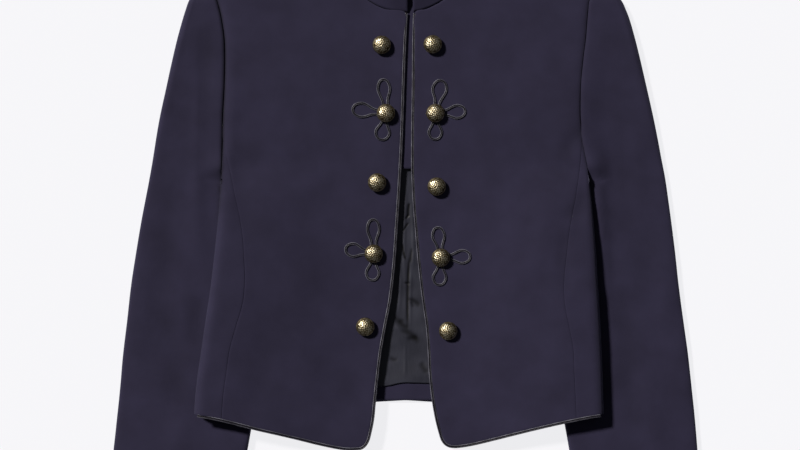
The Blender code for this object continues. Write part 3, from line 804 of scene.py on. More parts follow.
@dataclass(frozen=True)
class WoolCloth:
    """Wool broadcloth, woven as a twill, then milled and pressed.

    To the eye: a dense, almost black blue-violet with a dry face. Short fibres catch light along folds,
    where it turns greyer, and pressing leaves faint cloudy patches. Creases and seam ditches get painted
    shade.
    """

    name: str = "wool_broadcloth_milled"
    deep: str = "#242135"
    worn: str = "#302d45"
    # Painted shade: the seam colour is what the cloth darkens to in creases, in the armhole's ditch and
    # along its dark line below the armpit
    seam: str = "#0b0a10"
    seam_shade: float = 0.6
    cloud_size: float = 34.0
    # Single fibres are too fine to show, so clumps of them are drawn.
    fibre_size: float = 0.9
    fibre_share: float = 0.35
    # The twill's rib of about 0.5 mm is too fine for the render; these are faint bands from pressing.
    band_width: float = 11.55
    band_share: float = 0.4
    roughness: float = 0.88
    sheen: float = 0.35
    sheen_tint: str = "#8f90a6"

    def build(self) -> bpy.types.Material:
        """Make the material."""
        made, tree, place = new_material(self.name)
        cloud, fibre = (
            add(tree, "TexNoise", None,
                {"Scale": per_metre(size), "Detail": detail, "Roughness": rough}, {"Vector": place})
            for size, detail, rough in ((self.cloud_size, 3.0, 0.55), (self.fibre_size, 2.0, 0.7)))
        bands = add(tree, "TexWave", {"bands_direction": "DIAGONAL"},
                    {"Scale": band_scale(self.band_width), "Distortion": 1.2, "Detail": 1.0,
                     "Detail Scale": 2.0}, {"Vector": place})
        blend = add(tree, "Math", {"operation": "MULTIPLY_ADD"}, {1: self.fibre_share},
                    {0: fibre.outputs["Fac"], 2: cloud.outputs["Fac"]})
        share = add(tree, "MapRange", values={"From Min": 0.3, "From Max": 1.1},
                    links={"Value": blend.outputs[0]})
        # Painted shade: darken towards the seam colour by the mesh's layer of crease and ditch depth
        hollow = add(tree, "Attribute", {"attribute_name": ClothSheet.hollow_layer})
        colour = add(tree, "Mix", {"data_type": "RGBA"},
                     {6: linear(self.deep), 7: linear(self.worn)}, {0: share.outputs[0]})
        shade = add(tree, "Math", {"operation": "MULTIPLY", "use_clamp": True},
                    {1: self.seam_shade}, {0: hollow.outputs["Fac"]})
        colour = add(tree, "Mix", {"data_type": "RGBA"}, {7: linear(self.seam)},
                     {0: shade.outputs[0], 6: colour.outputs[2]})
        relief = add(tree, "Math", {"operation": "MULTIPLY_ADD"}, {1: self.band_share},
                     {0: bands.outputs["Fac"], 2: fibre.outputs["Fac"]})
        feed_shader(tree, relief.outputs[0], (0.35, 0.25), {"Base Color": colour.outputs[2]}, {
            "Roughness": self.roughness, "Specular IOR Level": 0.22, "Sheen Weight": self.sheen,
            "Sheen Roughness": 0.45, "Sheen Tint": linear(self.sheen_tint)})
        return made


@dataclass(frozen=True)
class SatinLining:
    """Polyester satin, woven with long floats along the piece.

    To the eye: dark grey with a soft sheen that breaks into light and near-black patches at each crease;
    the near-black is painted shade.
    """

    name: str = "polyester_satin_woven"
    deep: str = "#292a34"
    light: str = "#363742"
    # Painted shade: the colour that the satin darkens to in crease troughs
    crease: str = "#07070b"
    # Floats are about 0.3 mm wide; they are drawn at 1 mm, and ten times as long, so that they show.
    float_width: float = 1.0
    float_stretch: float = 0.1
    float_share: float = 0.4
    cloud_size: float = 26.0
    roughness: float = 0.44

    def build(self) -> bpy.types.Material:
        """Make the material."""
        made, tree, place = new_material(self.name)
        along = add(tree, "Mapping", None, {"Scale": (1.0, self.float_stretch, 1.0)},
                    {"Vector": place})
        floats = add(tree, "TexNoise", None,
                     {"Scale": per_metre(self.float_width), "Detail": 2.0}, {"Vector": along.outputs[0]})
        cloud = add(tree, "TexNoise", None,
                    {"Scale": per_metre(self.cloud_size), "Detail": 1.0}, {"Vector": place})
        blend = add(tree, "Math", {"operation": "MULTIPLY_ADD"}, {1: self.float_share},
                    {0: floats.outputs["Fac"], 2: cloud.outputs["Fac"]})
        share = add(tree, "MapRange", values={"From Min": 0.5, "From Max": 0.9},
                    links={"Value": blend.outputs[0]})
        colour = add(tree, "Mix", {"data_type": "RGBA"},
                     {6: linear(self.deep), 7: linear(self.light)}, {0: share.outputs[0]})
        # Painted shade: near-black where the mesh's layer says the satin lies in a crease
        hollow = add(tree, "Attribute", {"attribute_name": ClothSheet.hollow_layer})
        colour = add(tree, "Mix", {"data_type": "RGBA"}, {7: linear(self.crease)},
                     {0: hollow.outputs["Fac"], 6: colour.outputs[2]})
        feed_shader(tree, floats.outputs["Fac"], (0.2, 0.1), {"Base Color": colour.outputs[2]},
                    {"Roughness": self.roughness, "Specular IOR Level": 0.26})
        return made


@dataclass(frozen=True)
class SilkBraid:
    """Rayon soutache braid, plaited over two cores.

    To the eye: two narrow ridges a little greyer than the cloth, with a silky gleam on each crown, which
    is a painted highlight.
    """

    name: str = "rayon_soutache_plaited"
    deep: str = "#181620"
    # Painted highlight: the lighter colour on each ridge's upper outer side
    crown: str = "#72727f"
    # The plait's crossings are in the shape; these are the slow changes of wear along the braid, which
    # also vary the strength of its painted highlight.
    wear_width: float = 13.33
    wear_share: float = 0.6
    fuzz_size: float = 0.8
    roughness: float = 0.42

    def build(self) -> bpy.types.Material:
        """Make the material."""
        made, tree, place = new_material(self.name)
        wear_and_gleam = add(tree, "TexWave", {"bands_direction": "DIAGONAL"},
                   {"Scale": band_scale(self.wear_width), "Distortion": 2.0, "Detail": 1.0,
                    "Detail Scale": 3.0}, {"Vector": place})
        fuzz = add(tree, "TexNoise", None,
                   {"Scale": per_metre(self.fuzz_size), "Detail": 2.0}, {"Vector": place})
        blend = add(tree, "Math", {"operation": "MULTIPLY_ADD"}, {1: self.wear_share},
                    {0: wear_and_gleam.outputs["Fac"], 2: fuzz.outputs["Fac"]})
        # Painted highlight: lighten the braid towards the crown colour where the mesh's mask says, more
        # where the noise is high
        crown = add(tree, "Attribute", {"attribute_name": Braid.crown_layer})
        worn = add(tree, "Math", {"operation": "MULTIPLY", "use_clamp": True},
                   links={0: blend.outputs[0], 1: crown.outputs["Fac"]})
        colour = add(tree, "Mix", {"data_type": "RGBA"},
                     {6: linear(self.deep), 7: linear(self.crown)}, {0: worn.outputs[0]})
        feed_shader(tree, blend.outputs[0], (0.4, 0.15), {"Base Color": colour.outputs[2]},
                    {"Roughness": self.roughness, "Specular IOR Level": 0.35})
        return made


@dataclass(frozen=True)
class AgedBrass:
    """Brass sheet, pressed into a dome, blackened and then rubbed bright on its high places.

    To the eye: warm pale gold on the crowns, olive brown to black in the hollows.
    """

    name: str = "brass_pressed_blackened"
    bright: str = "#cdc6ae"
    brown: str = "#6f6143"
    black: str = "#1f1b12"
    stops: tuple[float, float, float] = (0.42, 0.68, 1.0)
    patch_size: float = 3.2
    patch_share: float = 0.9
    pit_size: float = 0.9
    pit_share: float = 0.35

    def build(self) -> bpy.types.Material:
        """Make the material."""
        made, tree, place = new_material(self.name)
        hollow = add(tree, "Attribute", {"attribute_name": DomeButton.height_layer})
        patch, pits = (
            add(tree, "TexNoise", None, {"Scale": per_metre(size), "Detail": detail},
                {"Vector": place})
            for size, detail in ((self.patch_size, 3.0), (self.pit_size, 2.0)))
        worn = add(tree, "Math", {"operation": "MULTIPLY_ADD"}, {1: self.patch_share},
                   {0: patch.outputs["Fac"], 2: hollow.outputs["Fac"]})
        worn = add(tree, "Math", {"operation": "MULTIPLY_ADD"}, {1: self.pit_share},
                   {0: pits.outputs["Fac"], 2: worn.outputs[0]})
        ramp = add(tree, "ValToRGB", links={"Fac": worn.outputs[0]})
        elements = ramp.color_ramp.elements
        elements[0].position, elements[0].color = self.stops[0], linear(self.black)
        elements[1].position, elements[1].color = self.stops[2], linear(self.bright)
        elements.new(self.stops[1]).color = linear(self.brown)
        rough = add(tree, "MapRange", None,
                    {"From Min": 0.4, "From Max": 1.1, "To Min": 0.6, "To Max": 0.34},
                    {"Value": worn.outputs[0]})
        links = {"Base Color": ramp.outputs["Color"], "Roughness": rough.outputs[0]}
        feed_shader(tree, pits.outputs["Fac"], (0.3, 0.12), links, {"Metallic": 1.0})
        return made


@dataclass(frozen=True)
class StudioPaper:
    """Seamless background paper, lit through from below so that shadows on it stay faint."""

    name: str = "background_paper_backlit"
    colour: str = "#5d5d60"
    light: str = "#f6f6f9"
    glow: float = 0.9
    grain_size: float = 2.0

    def build(self) -> bpy.types.Material:
        """Make the material."""
        made, tree, place = new_material(self.name)
        grain = add(tree, "TexNoise", None,
                    {"Scale": per_metre(self.grain_size), "Detail": 2.0}, {"Vector": place})
        feed_shader(tree, grain.outputs["Fac"], (0.05, 0.1), {}, {
            "Base Color": linear(self.colour), "Roughness": 0.9, "Specular IOR Level": 0.1,
            "Emission Color": linear(self.light), "Emission Strength": self.glow})
        return made


@dataclass(frozen=True)
class Finishes:
    """The jacket's four finishes."""

    wool: Finish
    satin: Finish
    braid: Finish
    brass: Finish

    @classmethod
    def make(cls) -> "Finishes":
        """Build all four."""
        return cls(
            Finish(WoolCloth().build(), "wool_cloth"), Finish(SatinLining().build(), "satin_lining"),
            Finish(SilkBraid().build(), "satin_cord"), Finish(AgedBrass().build(), "aged_brass"),
        )


@dataclass
class Maker:
    """What makes pieces of the jacket.

    Attributes:
        pattern: the jacket's pattern.
        finishes: its finishes.
        shift: where the pattern's origin lies in the frame.
    """

    pattern: Pattern
    finishes: Finishes
    shift: Vector


@dataclass
class Body(Maker):
    """Fronts, side-fronts and backs of the jacket.

    Attributes:
        wall: thickness of the cloth.
        armholes: depth of the armhole's valley and of its ditch, on each side.
        apex_share: how far the side-front's top point reaches towards the side edge.
        sewn_gap: gap between the side-front and the front in their seam.
    """

    wall: float = 2.0
    armholes = {Side.RIGHT: (1.3, 1.2), Side.LEFT: (0.8, 0.5)}
    apex_share: float = 0.88
    fold_share: float = 0.6
    spread_share: float = 0.8
    least_step: float = 2.0
    sewn_gap: float = 0.05
    flat_points: int = 4
    ramp_points: int = 4
    valley_width: float = 5.5
    swell: tuple[float, float, float] = (92.0, 0.45, 0.4)
    front_creases = {
        Side.RIGHT: creases_from(
            (-186.0, 150.0, -188.0, -10.0, 7.0, 0.9, 2.0),
            (-176.0, 60.0, -150.0, -60.0, 16.0, -0.8, 6.0),
            (-120.0, -40.0, -96.0, -190.0, 20.0, 0.9, 5.0),
            (-150.0, -120.0, -170.0, -200.0, 14.0, -0.7, -3.0),
        ),
        Side.LEFT: creases_from(
            (193.0, 108.0, 172.0, 78.0, 9.0, -1.3, 2.0), (198.0, 42.0, 176.0, 8.0, 11.0, -1.5, -2.0),
            (172.0, -4.0, 173.0, -72.0, 8.0, -1.2, 1.5), (155.0, 40.0, 128.0, -60.0, 15.0, 0.8, -5.0),
            (110.0, -60.0, 88.0, -180.0, 22.0, 0.8, -6.0),
        ),
    }
    back_creases = {
        Side.RIGHT: creases_from(
            (-40.0, 210.0, -90.0, 60.0, 10.0, 1.2, 7.0), (-70.0, -30.0, -52.0, -160.0, 9.0, 1.0, -4.0),
        ),
        Side.LEFT: creases_from(
            (50.0, 190.0, 84.0, 80.0, 9.0, 1.3, -5.0), (92.0, 20.0, 60.0, -140.0, 11.0, 1.1, 6.0),
        ),
    }

    # Width and length of each cut in metres, and its area in square metres
    front_cut = ((0.216, 0.552), 0.0875)
    side_front_cut = ((0.045, 0.308), 0.0090)
    back_cut = ((0.236, 0.515), 0.1010)

    def front_rows(self, side: Side) -> list[list[Point]]:
        """Outer points of a front, hem to shoulder."""
        cut, sign = self.pattern, side.value
        edge, hem = cut.front_outline(side, cut.piping_inset)
        start = math.degrees(math.asin(abs(edge[0].x) / cut.neck_half)) if sign > 0 else 0.0
        edge[0] = Vector((edge[0].x, cut.neck_point(start, side).y))
        neck = [cut.neck_point(degrees, side) for degrees in (start,) + cut.neck_angles_front]
        neck_end = [neck[-1]] + [cut.neck_point(degrees, side) for degrees in cut.neck_turn_front]
        outer = cut.seam_line(side, hem)
        tip = Vector((sign * cut.side_edge(cut.shoulder_y, side), cut.shoulder_y))
        inner = [(p, 1.0) for p in edge[::-1] + neck[1:]] + cut.shoulder_turn(neck_end)
        sides = [(p, 1.0) for p in outer] + cut.shoulder_turn([outer[-1], tip])
        bottom = [p for p in hem if abs(p.x) < abs(outer[0].x) - self.least_step] + [outer[0]]
        width = bottom[-1].x - bottom[0].x
        rows = []
        for j, ((a, rise), (b, _)) in enumerate(zip(inner, sides, strict=True)):
            fade = (1.0 - j / (len(inner) - 1)) ** 2
            row = []
            for low in bottom:
                u = (low.x - bottom[0].x) / width
                p = a.lerp(b, u) + (low - bottom[0].lerp(bottom[-1], u)) * fade
                row.append((p.x, p.y, cut.front_top(p.x, p.y, side, rise)))
            rows.append(row)
        return rows

    def edge_columns(
        self, edge: float, y: float, height: Callable[[float, float], float], end: float,
        depth: float, spread: float, side: Side,
    ) -> list[Point]:
        """Points up to a side edge: the turn of its fold, or evenly spread along the armhole."""
        points = []
        for k, (inset, rise) in enumerate(reversed(FOLD)):
            if y < self.pattern.armpit_y:
                x = edge - depth * inset
                z = end + (height(x, y) - end) * rise
            else:
                x = edge - spread * (1.0 - k / (len(FOLD) - 1))
                z = height(x, y)
            points.append((side.value * x, y, z))
        return points

    def side_front_rows(self, side: Side) -> list[list[Point]]:
        """Outer points of the side-front panel, from the hem up to its point in the armhole."""
        cut, sign = self.pattern, side.value
        _, hem = cut.front_outline(side, cut.piping_inset)
        top_y = cut.seam_rows[0][0]
        outer = [p for p in cut.seam_line(side, hem) if p.y < top_y]
        apex = outer[-1].lerp(Vector((sign * cut.side_edge(top_y, side), top_y)), self.apex_share)
        height = partial(cut.front_top, side=side)
        rows = []
        for j, seam in enumerate(outer + [apex]):
            y, edge, inner = seam.y, cut.side_edge(seam.y, side), abs(seam.x) + self.sewn_gap
            radius, middle = cut.side_fold(y, side)
            depth = min(radius, (edge - inner) * self.fold_share)
            spread = (edge - inner) * self.spread_share
            turn = self.edge_columns(edge, y, height, middle + cut.half_gap(y), depth, spread, side)
            first = sign * inner
            between = (first + turn[0][0]) / 2.0
            row = [(x, y, height(x, y)) for x in (first, between)] + turn
            if j == 0:
                row = [(x, cut.hem_height(hem, x), z) for x, _, z in row]
            rows.append(row)
        return rows

    def back_rows(self, side: Side) -> list[list[Point]]:
        """Outer points of a back half, hem to shoulder."""
        cut, sign = self.pattern, side.value
        neck = [cut.neck_point(degrees, side) for degrees in cut.neck_angles_back]
        spine = np.linspace(cut.back_hem[0], neck[0].y, len(cut.stations) + 2 - len(neck))
        inner = [(Vector((sign * HALF_GAP, y)), 1.0) for y in spine] + [(p, 1.0) for p in neck[1:]]
        inner += cut.shoulder_turn([neck[-1]] + [cut.neck_point(d, side) for d in cut.neck_turn_back])
        tip = Vector((cut.side_edge(cut.shoulder_y, side), cut.shoulder_y))
        outer = [Vector((cut.side_edge(cut.back_hem[1], side), cut.back_hem[1]))]
        outer += [Vector((cut.side_edge(y, side), y)) for y in cut.stations]
        sides = [(p, 1.0) for p in outer] + cut.shoulder_turn([outer[-1], tip])
        rows = []
        for (a, rise), (b, _) in zip(inner, sides, strict=True):
            start = abs(a.x)
            clear = cut.sleeve_inner(b.y, side) - cut.ramp_clear
            radius, middle = cut.side_fold(b.y, side)
            height = partial(cut.back_bottom, side=side, rise=rise)
            end = middle - cut.half_gap(b.y)
            turn = self.edge_columns(b.x, b.y, height, end, radius, cut.back_spread, side)
            last = abs(turn[0][0])
            ramp_end = min(clear, last - self.least_step)
            xs = list(np.linspace(start, ramp_end - cut.ramp, self.flat_points))
            xs += list(np.linspace(ramp_end - cut.ramp, ramp_end, self.ramp_points))[1:]
            xs.append((ramp_end + last) / 2.0)
            row = []
            for x in xs:
                y = a.y + (b.y - a.y) * (x - start) / (b.x - start)
                row.append((sign * x, y, height(x, y)))
            rows.append(row + turn)
        return rows

    def build(self, side: Side) -> bpy.types.Object:
        """Make one side's three panels.

        Args:
            side: the wearer's side.

        Returns:
            The front panel, which carries the trim.
        """
        wool, word = self.finishes.wool, side.word
        depth, ditch = self.armholes[side]
        size, height, phase = self.swell
        reliefs = (Armhole(self.pattern, side, depth, self.valley_width, ditch),
                   Swell(size, height, phase + side.value)) + self.front_creases[side]
        front = ClothSheet(
            f"front_{word}", self.front_rows(side), self.wall, 1, wool, *self.front_cut,
            (f"back_{word}",), reliefs, rolled=(0.5, 0.8, 0.5, 0.25),
        ).build(self.shift)
        ClothSheet(
            f"side_front_{word}", self.side_front_rows(side), self.wall, 1, wool, *self.side_front_cut,
            (f"back_{word}",), reliefs, rolled=(0.5, 0.5, 0.2, 0.3), spacing=3.0,
        ).build(self.shift)
        ClothSheet(
            f"back_{word}", self.back_rows(side), self.wall, -1, wool, *self.back_cut,
            (f"sleeve_upper_{word}",), self.back_creases[side],
        ).build(self.shift)
        return front


@dataclass
class Sleeves(Maker):
    """The two sheets of a sleeve: its top, and its under side on the floor.

    Attributes:
        wall: thickness of the cloth.
        armholes: depth of the armhole's valley and of its ditch, on each side.
        tuck: how far the under sheet reaches in under the armhole, so that no light comes through.
    """

    wall: float = 1.9
    armholes = {Side.RIGHT: (2.2, 1.2), Side.LEFT: (1.2, 0.5)}
    blend_share: float = 0.5
    fold_share: float = 0.3
    tuck: float = 1.4
    flat_shares: tuple[float, ...] = (0.25, 0.5, 0.75)
    valley_width: float = 12.0
    swell: tuple[float, float, float] = (74.0, 0.5, 1.7)
    creases = {
        Side.RIGHT: creases_from(
            (-222.0, 160.0, -226.0, -30.0, 8.0, 1.5, 1.0),
            (-212.0, 215.0, -214.0, 120.0, 9.0, -1.4, 2.0),
            (-246.0, 60.0, -262.0, -120.0, 12.0, -0.9, 5.0),
            (-222.0, -76.0, -227.0, -130.0, 8.0, -1.3, 1.0),
            (-256.0, -90.0, -248.0, -190.0, 14.0, -1.1, -3.0),
            (-282.0, -40.0, -290.0, -170.0, 9.0, 0.9, 2.0),
            (-236.0, -200.0, -262.0, -290.0, 12.0, 1.0, 3.0),
        ),
        Side.LEFT: creases_from(
            (206.0, 84.0, 214.0, -76.0, 7.0, 3.0, -1.0), (232.0, 110.0, 240.0, -10.0, 14.0, -0.9, 3.0),
            (233.0, -66.0, 240.0, -190.0, 13.0, -1.3, -2.0),
            (272.0, 30.0, 284.0, -110.0, 10.0, 0.9, -3.0),
            (266.0, -150.0, 276.0, -280.0, 12.0, 0.9, 4.0),
        ),
    }

    # Width and length of each sheet's cut in metres, and its area in square metres
    sheet_cut = ((0.165, 0.620), 0.0690)

    def stations(self, side: Side) -> list[tuple[float, float, float, float, bool]]:
        """Rows from the head down: y, inner, outer, top height and whether the inner edge is folded."""
        cut = self.pattern
        outer, inner = side.column(), side.column(step=2)
        rows = [(row[0], cut.sleeve_inner(row[0], side), row[outer], row[-1], False)
                for row in cut.head_rows]
        for row in cut.arm_rows:
            folded = row[0] < cut.underarm_y
            rows.append((row[0], row[inner], row[inner + 1], cut.sleeve_thick, folded))
        return rows

    def seam_height(self, inner: float, y: float, side: Side, layer: Layer) -> float:
        """Height of a sheet where it meets the armhole, or turns under it at the armpit."""
        cut = self.pattern
        if y < cut.armpit_y:
            return cut.underarm_top if layer is Layer.UPPER else cut.underarm_under
        measure = cut.front_top if layer is Layer.UPPER else cut.back_bottom
        return measure(inner, y, side)

    def near_share(self, y: float) -> float:
        """Share of the sleeve head's height that is left near its top end."""
        cut = self.pattern
        share = (cut.head_rows[0][0] - y) / (cut.head_rows[0][0] - cut.head_tip_from)
        return min(1.0, cut.head_tip_share + (1.0 - cut.head_tip_share) * share)

    def rows(self, side: Side, layer: Layer) -> list[list[Point]]:
        """Outer points of one sheet, head to cuff."""
        cut, sign, way = self.pattern, side.value, float(layer.value)
        rows = []
        for y, inner, outer, top, folded in self.stations(side):
            if layer is Layer.UNDER and not folded:
                inner -= self.tuck
            level = cut.shoulder_mid + way * HALF_GAP
            near = self.near_share(y)
            inner_end = top / 2.0 + way * cut.half_gap(y)
            edge = level + (self.seam_height(inner, y, side, layer) - level) * near
            flat = level + ((top if layer is Layer.UPPER else 0.0) - level) * near
            blend = min(cut.head_blend, (outer - inner) * self.blend_share)
            depth = min(top / 2.0, (outer - inner) * self.fold_share)
            row = []
            for k, (inset, rise) in enumerate(FOLD):
                even = k / (len(FOLD) - 1)
                if folded:
                    row.append((inner + depth * inset, inner_end + (flat - inner_end) * rise))
                else:
                    row.append((inner + blend * even, edge + (flat - edge) * smoothstep(even)))
            first, last = row[-1][0], outer - depth
            row += [(first + (last - first) * t, flat) for t in self.flat_shares]
            end = level + (top / 2.0 + way * HALF_GAP - level) * near
            row += [(outer - depth * inset, end + (flat - end) * rise) for inset, rise in reversed(FOLD)]
            bend = smoothstep((cut.tilt_from - y) / (cut.tilt_from - cut.cuff_y))
            tilt = math.tan(cut.cuff_tilt * bend)
            centre = (inner + outer) / 2.0
            rows.append([(sign * x, y + tilt * (x - centre), z) for x, z in row])
        return rows

    def build(self, side: Side) -> None:
        """Make one sleeve's two sheets."""
        wool, word = self.finishes.wool, side.word
        depth, ditch = self.armholes[side]
        size, height, phase = self.swell
        reliefs = (Armhole(self.pattern, side, depth, self.valley_width, ditch),
                   Swell(size, height, phase * side.value)) + self.creases[side]
        under = f"sleeve_under_{word}"
        ClothSheet(
            under, self.rows(side, Layer.UNDER), self.wall, -1, wool, *self.sheet_cut, (),
        ).build(self.shift)
        ClothSheet(
            f"sleeve_upper_{word}", self.rows(side, Layer.UPPER), self.wall, 1, wool, *self.sheet_cut,
            (under,), reliefs,
        ).build(self.shift)


@dataclass
class Collar(Maker):
    """The stand collar, open at the centre front and folded flat at the shoulder seams.

    Attributes:
        wall: thickness of the cloth.
        height: the stand's height.
        lean: how far the stand leans in at the shoulders, as a share of its height.
        front_top: how much higher the top edge lies at the centre front than at the shoulders.
        side_top: height of the top edge at the shoulders.
        back_top: height of the top edge behind.
        turn: angle past the shoulder over which the top edge comes down.
        ends: distance of the right and left end from the centre.
    """

    wall: float = 2.0
    height: float = 37.0
    lean: float = 0.28
    front_top: float = 15.0
    side_top: float = 8.0
    back_top: float = 1.0
    turn: float = math.radians(20.0)
    steps: int = 4
    ends: tuple[float, float] = (2.5, 8.3)
    beside_shoulder: float = 0.02

    # Width and length of the cut in metres, and its area in square metres
    collar_cut = ((0.400, 0.038), 0.0119)

    def top_point(self, degrees: float, base: Vector, side: Side) -> Vector:
        """Top edge of the collar above a point of the neck seam."""
        angle = math.radians(degrees)
        if degrees < 90.0:
            z = self.side_top + self.front_top * math.cos(angle)
        else:
            turned = max(0.0, 1.0 - (angle - math.pi / 2) / self.turn)
            z = self.back_top + (self.side_top - self.back_top) * turned**2
        lean = self.lean * math.sin(angle)
        rise = (z - base.z) / self.height
        up = math.sqrt(max(1.0 - lean**2 - rise**2, 0.0))
        return Vector((base.x - side.value * self.height * lean, base.y + self.height * up, z))

    def half(self, side: Side, end_x: float) -> list[tuple[float, Vector]]:
        """Stations of half the collar, centre front to centre back, as angle and seam point."""
        cut = self.pattern
        start = math.degrees(math.asin(end_x / cut.neck_half))
        stations = []
        for degrees in (start,) + cut.neck_angles_front:
            p = cut.neck_point(degrees, side, SEAM_GAP)
            stations.append((degrees, Vector((p.x, p.y, cut.front_top(p.x, p.y, side)))))
        last_front = (cut.neck_angles_front[-1],) + cut.neck_turn_front
        last_back = (cut.neck_angles_back[-1],) + cut.neck_turn_back
        front = [cut.neck_point(d, side, SEAM_GAP) for d in last_front]
        back = [cut.neck_point(d, side, SEAM_GAP) for d in last_back]
        for p, rise in cut.shoulder_turn(front)[:-1]:
            away = math.degrees((cut.neck_point_y - p.y) / cut.front_drop) + self.beside_shoulder
            stations.append((90.0 - away, Vector((p.x, p.y, cut.front_top(p.x, p.y, side, rise)))))
        for p, rise in cut.shoulder_turn(back)[:-1][::-1]:
            past = math.degrees((cut.neck_point_y - p.y + SEAM_GAP) / cut.front_drop)
            past += self.beside_shoulder
            stations.append((90.0 + past, Vector((p.x, p.y, cut.back_bottom(p.x, p.y, side, rise)))))
        for degrees in cut.neck_angles_back[::-1]:
            p = cut.neck_point(degrees, side, SEAM_GAP)
            stations.append((degrees, Vector((p.x, p.y, 0.0))))
        return stations

    def build(self) -> None:
        """Make the collar as one sheet round the neck."""
        stations = [(Side.RIGHT, s) for s in self.half(Side.RIGHT, -self.ends[0])]
        stations += [(Side.LEFT, s) for s in self.half(Side.LEFT, self.ends[1])[::-1][1:]]
        rows = []
        for row in range(self.steps + 1):
            t = row / self.steps
            rows.append([tuple(p.lerp(self.top_point(d, p, side), t)) for side, (d, p) in stations])
        ClothSheet(
            "collar", rows, self.wall, -1, self.finishes.wool, *self.collar_cut,
            ("front_right", "front_left"), spacing=3.0,
        ).build(self.shift)


